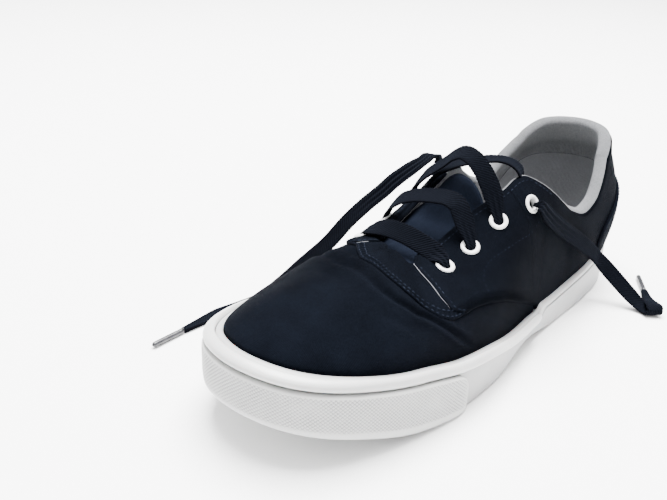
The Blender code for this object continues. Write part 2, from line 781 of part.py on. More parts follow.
def make_backstay(group):
    """Heel panel above the foxing, which narrows to a webbing strip up to the collar's roll."""
    span = BACKSTAY_WIDTH / FINE.edge_length
    base = np.empty((PANEL_COLUMNS, len(PANEL_ROWS), 3))
    for n, up in enumerate(PANEL_ROWS):
        wide = float(smooth(HEEL_PANEL, 1, up)) * span / 2
        mix = wall_run(-wide, wide, PANEL_COLUMNS, FINE)
        length, curve, top = mix(FINE.length), mix(FINE.curve), mix(FINE.top)
        for i in range(PANEL_COLUMNS):
            at = BACKSTAY_START + up * (top[i] - BACKSTAY_BELOW_RIM)
            base[i, n] = [np.interp(at, length[i], curve[i, :, k]) for k in range(3)]
    normal = grid_normals(base, False)
    near = QUARTER_STEP + BACKSTAY_SEAT
    outer = base + normal * (near + BACKSTAY_THICKNESS)
    return slab("backstay", outer, base + normal * near, "webbing", group)


def make_tongue(group):
    """Canvas tongue under the eyestays, from inside the vamp up to the throat's upper part."""
    depth = CANVAS_WALL + TONGUE_GAP
    outer, inner = [], []
    rows = np.linspace(0.206, 0.136, 12)
    for x in rows:
        side = float(LastWall.ridge_side(x))
        half = TONGUE_HALF_WIDTH * (1 - 0.25 * ramp(x, 0.185, 0.206) - 0.28 * (1 - ramp(x, 0.134, 0.150)))
        top, under = [], []
        raised = TONGUE_LIFT * (1 - float(ramp(x, *TONGUE_RISE)))
        for share in np.linspace(1, -1, 11):
            point, normal = surface(x, side + half * share)
            arch = max(1 - ((share * half - TONGUE_ARCH_SIDE) / TONGUE_ARCH) ** 2, 0)
            point = point + np.array([0.0, 0.0, raised * arch])
            top.append(point - normal * depth)
            under.append(point - normal * (depth + TONGUE_THICKNESS))
        outer.append(top)
        inner.append(under)
    return slab("tongue", np.array(outer), np.array(inner), "canvas", group)


def eyelet_places():
    """Centre and normal of each eyelet, by side and row from the toe end."""
    places = []
    for side, word in ((1, "lateral"), (-1, "medial")):
        for row in range(len(EYELETS)):
            x = EYELET_FIRST - EYELET_SPACING * row
            span = EYELET_HALF_SPAN * EYELETS[row][1 if side > 0 else 2]
            y = float(LastWall.ridge_side(x)) + side * span
            point, normal = surface(x, y, QUARTER_STEP)
            places.append((f"eyelet_{word}_{row + 1}", point, normal))
    return places


def frame_at(point, normal):
    """Matrix that stands +Z on the surface normal at a point."""
    turn = Vector(normal).to_track_quat("Z", "Y").to_matrix().to_4x4()
    return Matrix.Translation(Vector(world(point))) @ turn


def make_eyelets(upper, group, cutters):
    """Turned rings in holes through the eyestays."""
    flange_out, barrel_out, hole = EYELET_OUTER / 2, EYELET_BARREL / 2, EYELET_HOLE / 2
    top, foot = EYELET_SEAT + EYELET_FLANGE, -CANVAS_WALL * 0.9
    profile = (
        (hole, top), (flange_out - EYELET_EDGE, top), (flange_out, EYELET_SEAT),
        (barrel_out, EYELET_SEAT), (barrel_out, foot), (hole, foot),
    )
    for name, point, normal in eyelet_places():
        place = frame_at(point, normal)
        bpy.ops.mesh.primitive_cylinder_add(
            vertices=EYELET_SIDES, radius=barrel_out + GAP, depth=6 * CANVAS_WALL, end_fill_type="NGON")
        cutter = bpy.context.object
        cutter.name = name.replace("eyelet", "hole")
        cutter.matrix_world = place
        cutter.hide_render = True
        cutter.display_type = "WIRE"
        for owner in list(cutter.users_collection):
            owner.objects.unlink(cutter)
        cutters.objects.link(cutter)
        cut = upper.modifiers.new(cutter.name, "BOOLEAN")
        cut.operation = "DIFFERENCE"
        cut.solver = "EXACT"
        cut.object = cutter
        angles = np.linspace(0, 2 * np.pi, EYELET_SIDES, endpoint=False)
        grid = np.array([[(r * np.cos(a), r * np.sin(a), z) for r, z in profile] for a in angles])
        ring = loft(name, grid + np.array([ORIGIN_X, ORIGIN_Y, 0.0]), True, "eyelet", group)
        ring.matrix_world = place


def ribbon(name, centre, across, width, thick, finish, group):
    """Flat lace along a run of centre points; across gives its width direction at each point."""
    centre = np.asarray(centre)
    along = np.gradient(centre, axis=0)
    along /= np.linalg.norm(along, axis=1)[:, None]
    across = across - (across * along).sum(axis=1)[:, None] * along
    across /= np.linalg.norm(across, axis=1)[:, None]
    up = np.cross(along, across)
    half_section = ((1, -0.5), (1, 0.5), (0.5, 1), (-0.5, 1))
    section = half_section + tuple((-side, -lift) for side, lift in half_section)
    sections = [centre + across * side * width / 2 + up * lift * thick / 2 for side, lift in section]
    return loft(name, np.stack(sections, axis=1), False, finish, group)


def make_bars(group):
    """Lace crossings over the throat, each lying just above the eyestays and their eyelets."""
    places = {name: point for name, point, normal in eyelet_places()}
    over_eyelet = EYELET_SEAT + EYELET_FLANGE + LACE_THICKNESS / 2 + GAP
    for row, lift, slack in BARS:
        start, end = places[f"eyelet_lateral_{row}"], places[f"eyelet_medial_{row}"]
        centre, across = [], []
        for t in np.linspace(0, 1, BAR_POINTS):
            x, y = start[:2] + (end[:2] - start[:2]) * t
            point, normal = surface(x, y, QUARTER_STEP + over_eyelet + lift)
            across.append(np.array([1.0, 0.0, 0.0]) - normal * normal[0])
            centre.append(point + np.array([0, 0, slack * np.sin(np.pi * t) ** 1.2]))
        across = np.array(across)
        ribbon(f"lace_bar_{row}", centre, across, LACE_WIDTH, LACE_THICKNESS, "lace", group)


def make_strand(group):
    """Lace from inside the medial eyestay to inside the lateral one, behind the top bar."""
    centre = spline(np.array(STRAND) / 1000, STRAND_POINTS)
    across = np.tile([1.0, 0.35, 0.1], (STRAND_POINTS, 1))
    ribbon("lace_strand", centre, across, LACE_WIDTH * 0.9, LACE_THICKNESS, "lace", group)


def cord(name, points_mm, count, group):
    """Free lace end: a plain tube along the route's points."""
    points = world(spline(np.array(points_mm) / 1000, count))
    data = bpy.data.curves.new(name, "CURVE")
    data.dimensions = "3D"
    data.bevel_depth = CORD_DIAMETER / 2
    data.bevel_resolution = 2
    data.use_fill_caps = True
    line = data.splines.new("POLY")
    line.points.add(len(points) - 1)
    for item, point in zip(line.points, points):
        item.co = (*point, 1)
    data.materials.append(material("lace"))
    obj = bpy.data.objects.new(name, data)
    group.objects.link(obj)
    return points


def aglet(name, end, before, group):
    """Stiff tip of a lace, in line with the lace's last stretch."""
    end, before = Vector(end), Vector(before)
    direction = (end - before).normalized()
    bpy.ops.mesh.primitive_cylinder_add(
        vertices=12, radius=AGLET_DIAMETER / 2, depth=AGLET_LENGTH, end_fill_type="NGON")
    tip = bpy.context.object
    tip.name = name
    tip.data.name = name
    tip.rotation_euler = direction.to_track_quat("Z", "Y").to_euler()
    tip.location = end + direction * (AGLET_LENGTH / 2 + GAP)
    for owner in list(tip.users_collection):
        owner.objects.unlink(tip)
    group.objects.link(tip)
    tip.data.materials.append(material("aglet"))


def main():
    clear_scene()
    group = collection("skate_shoe")
    cutters = collection("cutters")
    upper = make_upper(group)
    make_tongue(group)
    make_insole(group)
    make_outsole(group)
    sole_band("foxing", 0, 1, COLUMNS, foxing_rows, "white_rubber", group, closed=True)
    first, last = round_share(STRIP_REAR, 1), round_share(STRIP_REAR, -1)
    sole_band("foxing_strip", first, last, STRIP_COLUMNS, strip_rows, "white_rubber", group)
    first, last = round_share(BUMPER_REAR, 1), round_share(BUMPER_REAR, -1)
    sole_band("toe_bumper", first, last, BUMPER_COLUMNS, bumper_rows, "white_rubber", group)
    make_backstay(group)
    make_eyelets(upper, group, cutters)
    make_bars(group)
    make_strand(group)
    ends = ("lateral", LATERAL_END, LATERAL_POINTS), ("medial", MEDIAL_END, MEDIAL_POINTS)
    for side, route, count in ends:
        points = cord(f"lace_end_{side}", route, count, group)
        aglet(f"aglet_{side}", points[-1], points[-2], group)


main()
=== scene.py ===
"""Looks of a low canvas skateboarding shoe for the left foot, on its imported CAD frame.

Lengths are metres. The last's own frame has x from the heel, y to the outer side and z up; world()
moves its points into the row frame. The last is worked out here as it is in the part's source.
"""

import bpy
import numpy as np
from mathutils import Matrix

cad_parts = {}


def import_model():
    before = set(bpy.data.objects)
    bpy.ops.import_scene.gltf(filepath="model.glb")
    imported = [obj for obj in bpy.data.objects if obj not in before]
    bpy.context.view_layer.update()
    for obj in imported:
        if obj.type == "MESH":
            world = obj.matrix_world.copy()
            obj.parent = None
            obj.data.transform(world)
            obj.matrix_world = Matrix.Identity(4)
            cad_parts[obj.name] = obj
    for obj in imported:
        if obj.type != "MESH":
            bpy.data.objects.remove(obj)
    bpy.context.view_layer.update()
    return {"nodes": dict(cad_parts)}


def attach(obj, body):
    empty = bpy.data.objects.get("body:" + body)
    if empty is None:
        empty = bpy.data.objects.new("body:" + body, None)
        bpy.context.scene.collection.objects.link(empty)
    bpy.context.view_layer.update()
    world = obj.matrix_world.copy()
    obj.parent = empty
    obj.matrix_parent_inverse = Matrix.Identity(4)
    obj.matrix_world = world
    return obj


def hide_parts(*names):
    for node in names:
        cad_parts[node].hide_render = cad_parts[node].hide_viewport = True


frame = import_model()

# The last and the sole, as in the part's source
LAST_LENGTH = 0.281
BALL_WIDTH = 0.092
HEEL_HEIGHT = 0.094
INSTEP_HEIGHT = 0.093
ORIGIN = (0.1420814, -0.0014428, 0.0)
# Sole
HEEL_SOLE = 0.011
FOREFOOT_SOLE = 0.008
TOE_SPRING = 0.019
ARCH_LIFT = 0.005
WALL_HEIGHT = 0.0235
FOXING_THICKNESS = 0.0035
FOXING_LIFT = 0.0006
FOXING_GROOVE_DROP = 0.0036
REAR_STEP = 0.003
STRIP_THICKNESS = 0.0027
STRIP_HEIGHT = 0.0057
BUMPER_THICKNESS = 0.0035
STRIP_REAR = 0.405
BUMPER_REAR = 0.69
TOE_RUBBER = 0.0025
STRIP_OVERLAP = 0.0012

# Upper
CANVAS_WALL = 0.0022
QUARTER_STEP = 0.0009
TOPLINE_BLEND = 0.003
COLLAR_PAD = 0.0065
COLLAR_PAD_DEPTH = 0.022
THROAT_HALF_WIDTH = 0.014
HEEL_BULGE = 0.0035
HEEL_LEAN = 0.0030
TONGUE_THICKNESS = 0.003
TONGUE_HALF_WIDTH = 0.026
TONGUE_GAP = 0.0019
TONGUE_LIFT = 0.0140
TONGUE_ARCH = 0.0150
TONGUE_ARCH_SIDE = -0.002
TONGUE_RISE = (0.136, 0.152)
INSOLE_THICKNESS = 0.0045
INSOLE_GAP = 0.0008
BACKSTAY_WIDTH = 0.026
BACKSTAY_THICKNESS = 0.0016
BACKSTAY_SEAT = 0.0010
BACKSTAY_START = 0.0012
BACKSTAY_BELOW_RIM = 0.007
EYELET_SPACING = 0.019
EYELET_FIRST = 0.178
EYELET_HALF_SPAN = 0.0265
EYELET_OUTER = 0.0096
EYELET_HOLE = 0.0052
EYELET_BARREL = 0.0064
EYELET_FLANGE = 0.0009
EYELET_SEAT = 0.00055
LACE_WIDTH = 0.0092
LACE_THICKNESS = 0.0014
AGLET_LENGTH = 0.021
AGLET_DIAMETER = 0.0032
GAP = 0.0003
LACE_RIB = 0.00115
LACE_RELIEF = 0.00026
LACE_CUP = 0.03
PLEAT = 0.0026
LACE_ACROSS = 34
LACE_END_POINTS = 520
CROSSING_POINTS = 300
AGLET_RINGS = 24
AGLET_SIDES = 20


# Outline of the last's bottom edge: share of the length, then half widths as shares of the ball
OUTLINE = (
    # along, lateral, medial
    (0.020, 0.190, 0.176),
    (0.080, 0.322, 0.318),
    (0.184, 0.377, 0.374),
    (0.330, 0.398, 0.361),
    (0.454, 0.431, 0.383),
    (0.579, 0.486, 0.446),
    (0.683, 0.498, 0.505),
    (0.787, 0.461, 0.530),
    (0.880, 0.385, 0.485),
    (0.953, 0.255, 0.375),
    (0.986, 0.120, 0.262),
)
HEEL_TIP = 0.004
TOE_TIP = -0.085

# Bottom of the sole and top of its rubber wall along the last
SOLE = (
    # along, toe spring share, arch share, wall height share, heel thickness share
    (0.00, 0.07, 0.00, 1.06, 1.0),
    (0.05, 0.00, 0.00, 0.98, 1.0),
    (0.12, 0.00, 0.00, 0.90, 1.0),
    (0.31, 0.00, 0.00, 0.72, 1.0),
    (0.46, 0.00, 1.00, 0.56, 0.7),
    (0.60, 0.00, 0.00, 1.02, 0.0),
    (0.70, 0.00, 0.00, 1.20, 0.0),
    (0.80, 0.12, 0.00, 1.33, 0.0),
    (0.90, 0.52, 0.00, 1.24, 0.0),
    (1.00, 1.00, 0.00, 1.135, 0.0),
)

# Section of the toe bumper, from its lower edge to its upper one
BUMPER = (
    # share of the half height, share of the thickness
    (-1.00, 0.70),
    (-0.82, 0.92),
    (-0.30, 1.00),
    (0.40, 1.00),
    (0.90, 0.97),
    (1.00, 0.84),
)

# Heel panel: height share, and half width as a share of half the backstay's width
HEEL_PANEL = (
    # up, half width
    (0.00, 4.35),
    (0.12, 4.60),
    (0.27, 4.70),
    (0.41, 4.60),
    (0.50, 4.20),
    (0.55, 3.30),
    (0.60, 2.00),
    (0.66, 1.15),
    (0.74, 1.00),
    (1.00, 1.00),
)

# Sections of the last: ridge position and height, how square each side is, and where the seam runs
SECTIONS = (
    # along, ridge along, ridge height share, lateral square, medial square, lateral seam, medial seam
    (0.00, 0.115, 1.34, 4.0, 4.0, 0.00, 0.00),
    (0.12, 0.150, 1.31, 3.9, 3.9, 0.00, 0.00),
    (0.30, 0.300, 1.15, 3.3, 3.3, 0.00, 0.00),
    (0.39, 0.375, 1.02, 3.0, 3.1, 0.01, 0.01),
    (0.44, 0.420, 0.98, 2.83, 3.1, 0.09, 0.09),
    (0.50, 0.475, 0.85, 2.65, 3.1, 0.20, 0.20),
    (0.565, 0.535, 0.735, 2.40, 3.0, 0.29, 0.32),
    (0.63, 0.590, 0.67, 2.20, 2.7, 0.33, 0.50),
    (0.70, 0.630, 0.655, 2.15, 2.4, 0.31, 0.68),
    (0.76, 0.640, 0.655, 2.10, 2.2, 0.43, 0.77),
    (0.84, 0.646, 0.655, 1.95, 1.80, 0.61, 0.80),
    (0.92, 0.648, 0.655, 1.62, 1.55, 0.75, 0.825),
    (1.00, 0.648, 0.655, 1.50, 1.50, 0.83, 0.83),
)

# Top line: height of the collar's edge, and half widths of the throat where they limit instead
TOPLINE = (
    # along, edge height share of the heel height, lateral throat, medial throat
    (0.00, 0.960, 0.60, 0.60),
    (0.05, 0.950, 0.60, 0.60),
    (0.10, 0.890, 0.60, 0.60),
    (0.15, 0.770, 0.60, 0.60),
    (0.20, 0.655, 0.60, 0.60),
    (0.24, 0.620, 1.10, 1.10),
    (0.289, 0.670, 1.60, 1.60),
    (0.327, 0.755, 1.95, 1.95),
    (0.353, 0.820, 1.90, 1.85),
    (0.378, 0.880, 1.68, 1.66),
    (0.400, 0.930, 1.50, 1.56),
    (0.440, 1.060, 1.26, 1.52),
    (0.470, 1.200, 1.20, 1.50),
    (0.500, 1.400, 1.08, 1.50),
    (0.560, 1.500, 0.92, 1.40),
    (0.650, 1.500, 0.92, 1.15),
    (0.700, 1.500, 1.02, 0.90),
    (0.745, 1.500, 1.42, 0.55),
    (0.762, 1.500, 1.40, 0.50),
    (0.806, 1.500, 0.74, 0.45),
    (0.860, 1.500, 0.45, 0.42),
    (1.000, 1.500, 0.42, 0.42),
)

# Sideways place of the instep's ridge, as a share of the ball width
RIDGE = (
    # along, side
    (0.00, 0.000),
    (0.25, 0.020),
    (0.36, 0.036),
    (0.43, 0.034),
    (0.50, -0.022),
    (0.58, -0.056),
    (0.65, -0.070),
    (1.00, -0.070),
)

# Eyelet rows from the toe end: share of the half span between the two rows
EYELETS = (
    # row, lateral span, medial span
    (0, 1.00, 0.90),
    (1, 0.99, 0.98),
    (2, 0.99, 1.02),
    (3, 1.03, 0.95),
)


def column(table, index):
    """One named column of a table, against its first column."""
    return np.array([row[0] for row in table]), np.array([row[index] for row in table])


def smooth(table, index, at):
    """Read a table with a curve that keeps each level stretch level and never overshoots."""
    xs, ys = column(table, index)
    steps = np.diff(xs)
    slopes = np.diff(ys) / steps
    tangents = np.zeros_like(ys)
    for i in range(1, len(xs) - 1):
        if slopes[i - 1] * slopes[i] > 0:
            tangents[i] = 2 * slopes[i - 1] * slopes[i] / (slopes[i - 1] + slopes[i])
    tangents[0] = slopes[0]
    tangents[-1] = slopes[-1]
    at = np.clip(np.asarray(at, float), xs[0], xs[-1])
    k = np.clip(np.searchsorted(xs, at, side="right") - 1, 0, len(steps) - 1)
    t = (at - xs[k]) / steps[k]
    return (
        ys[k] * (2 * t**3 - 3 * t**2 + 1)
        + tangents[k] * steps[k] * (t**3 - 2 * t**2 + t)
        + ys[k + 1] * (3 * t**2 - 2 * t**3)
        + tangents[k + 1] * steps[k] * (t**3 - t**2)
    )


def ramp(value, start, end):
    """0 before start, 1 after end, and a smooth step between."""
    t = np.clip((np.asarray(value, float) - start) / (end - start), 0, 1)
    return t * t * (3 - 2 * t)


def unit(vectors, least=0.0):
    """Vectors made one long; least keeps an empty one from dividing by nothing."""
    return vectors / (np.linalg.norm(vectors, axis=-1)[..., None] + least)


def running(points):
    """Length along a line of points, from its start to each of them."""
    return np.concatenate([[0], np.cumsum(np.linalg.norm(np.diff(points, axis=0), axis=1))])


def soft_least(one, other, blend):
    """The smaller of two lengths, rounded over a blend where they meet."""
    low = min(one, other)
    return low - blend * np.log(np.exp((low - one) / blend) + np.exp((low - other) / blend))


def spline(points, count, closed=False):
    """Points at even distances along a smooth curve through the given points."""
    pts = np.asarray(points, float)
    if closed:
        ring = np.vstack([pts[-1:], pts, pts[:2]])
    else:
        ring = np.vstack([2 * pts[0] - pts[1], pts, 2 * pts[-1] - pts[-2]])
    fine = []
    for a, b, c, d in zip(ring[:-3], ring[1:-2], ring[2:-1], ring[3:]):
        knots = np.cumsum([0] + [np.linalg.norm(q - p) ** 0.5 for p, q in ((a, b), (b, c), (c, d))])
        u = np.linspace(knots[1], knots[2], 24, endpoint=False)[:, None]
        ab = ((knots[1] - u) * a + (u - knots[0]) * b) / (knots[1] - knots[0])
        bc = ((knots[2] - u) * b + (u - knots[1]) * c) / (knots[2] - knots[1])
        cd = ((knots[3] - u) * c + (u - knots[2]) * d) / (knots[3] - knots[2])
        abc = ((knots[2] - u) * ab + (u - knots[0]) * bc) / (knots[2] - knots[0])
        bcd = ((knots[3] - u) * bc + (u - knots[1]) * cd) / (knots[3] - knots[1])
        fine.append(((knots[2] - u) * abc + (u - knots[1]) * bcd) / (knots[2] - knots[1]))
    fine = np.vstack(fine + [fine[0][:1] if closed else pts[-1:]])
    length = running(fine)
    at = np.linspace(0, length[-1], count + 1)[:-1] if closed else np.linspace(0, length[-1], count)
    return np.column_stack([np.interp(at, length, fine[:, i]) for i in range(fine.shape[1])])


def feather(count):
    """The last's bottom outline, from the heel along the lateral side, and its outward normals."""
    lateral = [(row[0] * LAST_LENGTH, row[1] * BALL_WIDTH) for row in OUTLINE]
    medial = [(row[0] * LAST_LENGTH, -row[2] * BALL_WIDTH) for row in OUTLINE]
    tips = [(0, HEEL_TIP * BALL_WIDTH)], [(LAST_LENGTH, TOE_TIP * BALL_WIDTH)]
    points = spline(tips[0] + lateral + tips[1] + medial[::-1], count, closed=True)
    along = np.roll(points, -1, axis=0) - np.roll(points, 1, axis=0)
    along = unit(along)
    return points, np.column_stack([-along[:, 1], along[:, 0]])


def bottom_height(share):
    """Height of the sole's bottom: level under the heel and the ball, sprung at the toe."""
    return TOE_SPRING * smooth(SOLE, 1, share) + ARCH_LIFT * smooth(SOLE, 2, share)


def outsole_top(share):
    """Height of the outsole's upper face, which the upper and the insole stand on."""
    thick = FOREFOOT_SOLE + (HEEL_SOLE - FOREFOOT_SOLE) * smooth(SOLE, 4, share)
    return bottom_height(share) + thick


def strip_top(share):
    """Height of the rubber wall's top edge in front of the waist step."""
    return bottom_height(share) + WALL_HEIGHT * smooth(SOLE, 3, share)


def foxing_top(share):
    """Top of the foxing: a step higher behind the waist, just under the strip in front of it."""
    behind = 1 - ramp(share, STRIP_REAR - 0.012, STRIP_REAR + 0.012)
    return strip_top(share) + REAR_STEP * behind - STRIP_OVERLAP * (1 - behind)


def rubber_top(share):
    """Height at which the upper comes out of the rubber."""
    return np.maximum(foxing_top(share), strip_top(share) * (np.asarray(share) > STRIP_REAR + 0.005))


class LastWall:
    """Columns of the last's surface, each a curve from the bottom edge up to the ridge."""

    SAMPLES = 240

    def __init__(self, count):
        self.edge, self.normal = feather(count)
        self.share = self.edge[:, 0] / LAST_LENGTH
        share = self.share[:, None]
        ridge = np.column_stack([
            LAST_LENGTH * smooth(SECTIONS, 1, self.share),
            self.ridge_side(LAST_LENGTH * smooth(SECTIONS, 1, self.share)),
        ])
        self.base = rubber_top(self.share)
        self.seam = self.by_side(SECTIONS, 5, 6)
        power = 2 / self.by_side(SECTIONS, 3, 4)[:, None]
        angle = np.linspace(0, np.pi / 2, self.SAMPLES)[None, :]
        inward = 1 - np.clip(np.cos(angle), 0, 1) ** power
        height = INSTEP_HEIGHT * smooth(SECTIONS, 2, share)
        plan = self.edge[:, None, :] + (ridge - self.edge)[:, None, :] * inward[:, :, None]
        z = self.base[:, None] + (height - self.base[:, None]) * np.sin(angle) ** power
        rear = 1 - ramp(share, 0.10, 0.34)
        lift = (z - self.base[:, None]) / (HEEL_HEIGHT - self.base[:, None])
        bulge = HEEL_BULGE * np.sin(np.pi * np.clip(lift * 1.25, 0, 1))
        push = bulge - HEEL_LEAN * ramp(lift, 0.35, 1.05)
        plan = plan + (rear * push)[:, :, None] * self.normal[:, None, :]
        self.curve = np.dstack([plan, z])
        steps = np.linalg.norm(np.diff(self.curve, axis=1), axis=2)
        self.length = np.concatenate([np.zeros((count, 1)), np.cumsum(steps, axis=1)], axis=1)
        self.span = np.linalg.norm(self.curve[:, :, :2] - ridge[:, None, :], axis=2)
        self.top = self.top_length()

    def by_side(self, table, lateral, medial):
        """Two columns of a table, blended where the outline crosses from side to side."""
        side = ramp(self.edge[:, 1] / BALL_WIDTH, -0.25, 0.15)
        both = smooth(table, lateral, self.share), smooth(table, medial, self.share)
        return both[0] * side + both[1] * (1 - side)

    @staticmethod
    def ridge_side(x):
        """Sideways place of the ridge: outwards at the collar, inwards towards the toe."""
        return BALL_WIDTH * smooth(RIDGE, 1, np.asarray(x) / LAST_LENGTH)

    def top_length(self):
        """Length along each column at which the collar or the throat cuts it."""
        edge = HEEL_HEIGHT * smooth(TOPLINE, 1, self.share)
        half = THROAT_HALF_WIDTH * self.by_side(TOPLINE, 2, 3)
        found = []
        for i in range(len(edge)):
            by_height = np.interp(edge[i], self.curve[i, :, 2], self.length[i])
            if edge[i] > self.curve[i, -1, 2]:
                by_height = self.length[i, -1] + 0.02
            by_width = np.interp(-half[i], -self.span[i], self.length[i])
            found.append(soft_least(by_height, by_width, TOPLINE_BLEND))
        return np.array(found)

    def at(self, lengths):
        """Points at the given lengths, one row of lengths for each column."""
        out = np.empty(lengths.shape + (3,))
        for i in range(len(lengths)):
            for k in range(3):
                out[i, :, k] = np.interp(lengths[i], self.length[i], self.curve[i, :, k])
        return out


def grid_normals(grid, closed):
    """Outward unit normals of a grid of columns and rows."""
    if closed:
        across = np.roll(grid, -1, axis=0) - np.roll(grid, 1, axis=0)
    else:
        across = np.gradient(grid, axis=0)
    up = np.gradient(grid, axis=1)
    normal = np.cross(up, across)
    return unit(normal, TINY)


SKIN_COLUMNS = 720
SKIN_ROWS = 320
TINY = 1e-12


class Skin:
    """The last's surface, addressed by column (u, from the heel along the lateral side) and length."""

    def __init__(self):
        wall = LastWall(SKIN_COLUMNS)
        self.total = wall.length[:, -1]
        self.grid = wall.at(self.total[:, None] * np.linspace(0, 1, SKIN_ROWS)[None, :])
        self.normal = grid_normals(self.grid, True)
        self.top = wall.top
        self.seam = wall.top * wall.seam
        self.share = wall.share
        self.edge = wall.edge
        self.out = wall.normal
        line = wall.at(self.seam[:, None])[:, 0]
        self.run = running(line)

    def read(self, values, u):
        """A value kept for each column, at any column position."""
        low = np.floor(u).astype(int)
        part = (u - low).reshape(np.shape(u) + (1,) * (values.ndim - 1))
        return values[low % SKIN_COLUMNS] * (1 - part) + values[(low + 1) % SKIN_COLUMNS] * part

    def field(self, field, u, s):
        """A value kept for each point of the grid, at any column position and length."""
        low = np.floor(u).astype(int)
        part = (u - low)[..., None]

        def column_at(i):
            t = np.clip(s / self.total[i], 0, 1) * (SKIN_ROWS - 1)
            k = np.minimum(t.astype(int), SKIN_ROWS - 2)
            f = (t - k)[..., None]
            return field[i, k] * (1 - f) + field[i, k + 1] * f

        return column_at(low % SKIN_COLUMNS) * (1 - part) + column_at((low + 1) % SKIN_COLUMNS) * part

    def place(self, u, s, away=0.0):
        """Points and normals; a length below zero goes straight down behind the rubber."""
        u, s, away = np.broadcast_arrays(np.asarray(u, float), np.asarray(s, float), np.asarray(away, float))
        normal = unit(self.field(self.normal, u, s), TINY)
        point = self.field(self.grid, u, s)
        point[..., 2] += np.minimum(s, 0)
        return point + normal * away[..., None], normal

    def between(self, u, share):
        """Length at a share of the way from the seam over the vamp to the rim."""
        seam, top = self.read(self.seam, u), self.read(self.top, u)
        return seam + (top - seam) * share

    def find(self, points):
        """Nearest column and length of each point, which is given in millimetres."""
        flat = self.grid.reshape(-1, 3)
        found = []
        for point in np.asarray(points, float) / 1000:
            near = np.argmin(((flat - point) ** 2).sum(axis=1))
            i, k = divmod(near, SKIN_ROWS)
            found.append((float(i), self.total[i] * k / (SKIN_ROWS - 1)))
        return np.array(found)

    def by_plan(self, x, y):
        """Point and normal of the skin over a plan position."""
        flat = self.grid.reshape(-1, 3)
        near = np.argmin((flat[:, 0] - x) ** 2 + (flat[:, 1] - y) ** 2)
        normal = self.normal.reshape(-1, 3)[near]
        rise = (normal[0] * (x - flat[near, 0]) + normal[1] * (y - flat[near, 1])) / max(normal[2], 0.1)
        return np.array([x, y, flat[near, 2] - rise]), normal


SKIN = Skin()


def world(points):
    """From the last's own frame to the row frame."""
    return np.asarray(points, float) - np.array(ORIGIN)


# Materials

class Finish:
    """A material with a few lines of nodes."""

    def __init__(self, name, rough):
        self.made = bpy.data.materials.new(name)
        self.made.use_nodes = True
        self.tree = self.made.node_tree
        self.shader = self.tree.nodes["Principled BSDF"]
        self.shader.inputs["Roughness"].default_value = rough

    def cloth(self, weight, tint, rough):
        """Hardly any gloss, and a faint sheen from loose fibres."""
        self.shader.inputs["Specular IOR Level"].default_value = 0.015
        self.shader.inputs["Sheen Weight"].default_value = weight
        self.shader.inputs["Sheen Tint"].default_value = (*tint, 1)
        self.shader.inputs["Sheen Roughness"].default_value = rough

    def node(self, kind, sockets=(), **settings):
        """A new node; sockets take another node's socket or a plain value."""
        made = self.tree.nodes.new(kind)
        for key, value in settings.items():
            setattr(made, key, value)
        for key, value in dict(sockets).items():
            if isinstance(value, bpy.types.NodeSocket):
                self.tree.links.new(value, made.inputs[key])
            else:
                made.inputs[key].default_value = value
        return made

    def run(self):
        """Lengths along and up the piece, kept on its points."""
        return self.node("ShaderNodeAttribute", attribute_name="run").outputs["Vector"]

    def place(self):
        """The piece's own coordinates."""
        return self.node("ShaderNodeTexCoord").outputs["Object"]

    def math(self, operation, a, b):
        return self.node("ShaderNodeMath", {0: a, 1: b}, operation=operation).outputs[0]

    def wave(self, vector, pitch, turn=0.0):
        """Bands across x, one each pitch, after the vector is turned about z."""
        mapped = self.node("ShaderNodeMapping", {"Vector": vector, "Rotation": (0, 0, np.radians(turn))})
        return self.node("ShaderNodeTexWave", {
            "Vector": mapped.outputs[0], "Scale": 2 * np.pi / (10 * pitch), "Distortion": 0.0,
        }).outputs["Fac"]

    def noise(self, vector, size, detail=3.0, rough=0.55):
        return self.node("ShaderNodeTexNoise", {
            "Vector": vector, "Scale": 1 / size, "Detail": detail, "Roughness": rough,
        }).outputs["Fac"]

    def colour(self, factor, low, high, start=0.0, end=1.0):
        ramp_node = self.node("ShaderNodeValToRGB", {"Fac": factor})
        ramp_node.color_ramp.elements[0].color = (*low, 1)
        ramp_node.color_ramp.elements[0].position = start
        ramp_node.color_ramp.elements[1].color = (*high, 1)
        ramp_node.color_ramp.elements[1].position = end
        self.tree.links.new(ramp_node.outputs[0], self.shader.inputs["Base Color"])

    def bump(self, *layers):
        """Layers of (height socket, depth in metres)."""
        normal = None
        for height, depth in layers:
            sockets = {"Height": height, "Distance": depth, "Strength": 1.0}
            if normal is not None:
                sockets["Normal"] = normal
            normal = self.node("ShaderNodeBump", sockets).outputs[0]
        self.tree.links.new(normal, self.shader.inputs["Normal"])


def canvas_finish(name, dark, light, turn=0.0):
    """Cotton twill: fine diagonal ribs, crossed threads and soft patches of colour."""
    made = Finish(name, 0.86)
    run, place = made.run(), made.place()
    twill = made.wave(run, 0.00085, 52 + turn)
    thread = made.wave(run, 0.00042, turn)
    patch = made.noise(place, 0.016, 4)
    fibre = made.noise(place, 0.0011, 3, 0.7)
    mixed = made.math("ADD", made.math("MULTIPLY", patch, 0.55), made.math("MULTIPLY", fibre, 0.3))
    mixed = made.math("ADD", mixed, made.math("MULTIPLY", twill, 0.22))
    made.colour(mixed, dark, light, 0.30, 0.82)
    made.bump((fibre, 0.00025), (twill, 0.00016), (thread, 0.00006))
    made.cloth(0.008, (0.45, 0.55, 0.80), 0.35)
    return made.made


def rubber_finish(name, low, high, rough, grain=0.00005):
    """Rubber with soft patches of soil and a fine grain, a little translucent."""
    made = Finish(name, rough)
    place = made.place()
    made.colour(made.noise(place, 0.03, 4), low, high, 0.3, 0.7)
    made.bump((made.noise(place, 0.0007, 2), grain))
    made.shader.inputs["Subsurface Weight"].default_value = 0.08
    made.shader.inputs["Subsurface Scale"].default_value = 0.002
    return made.made


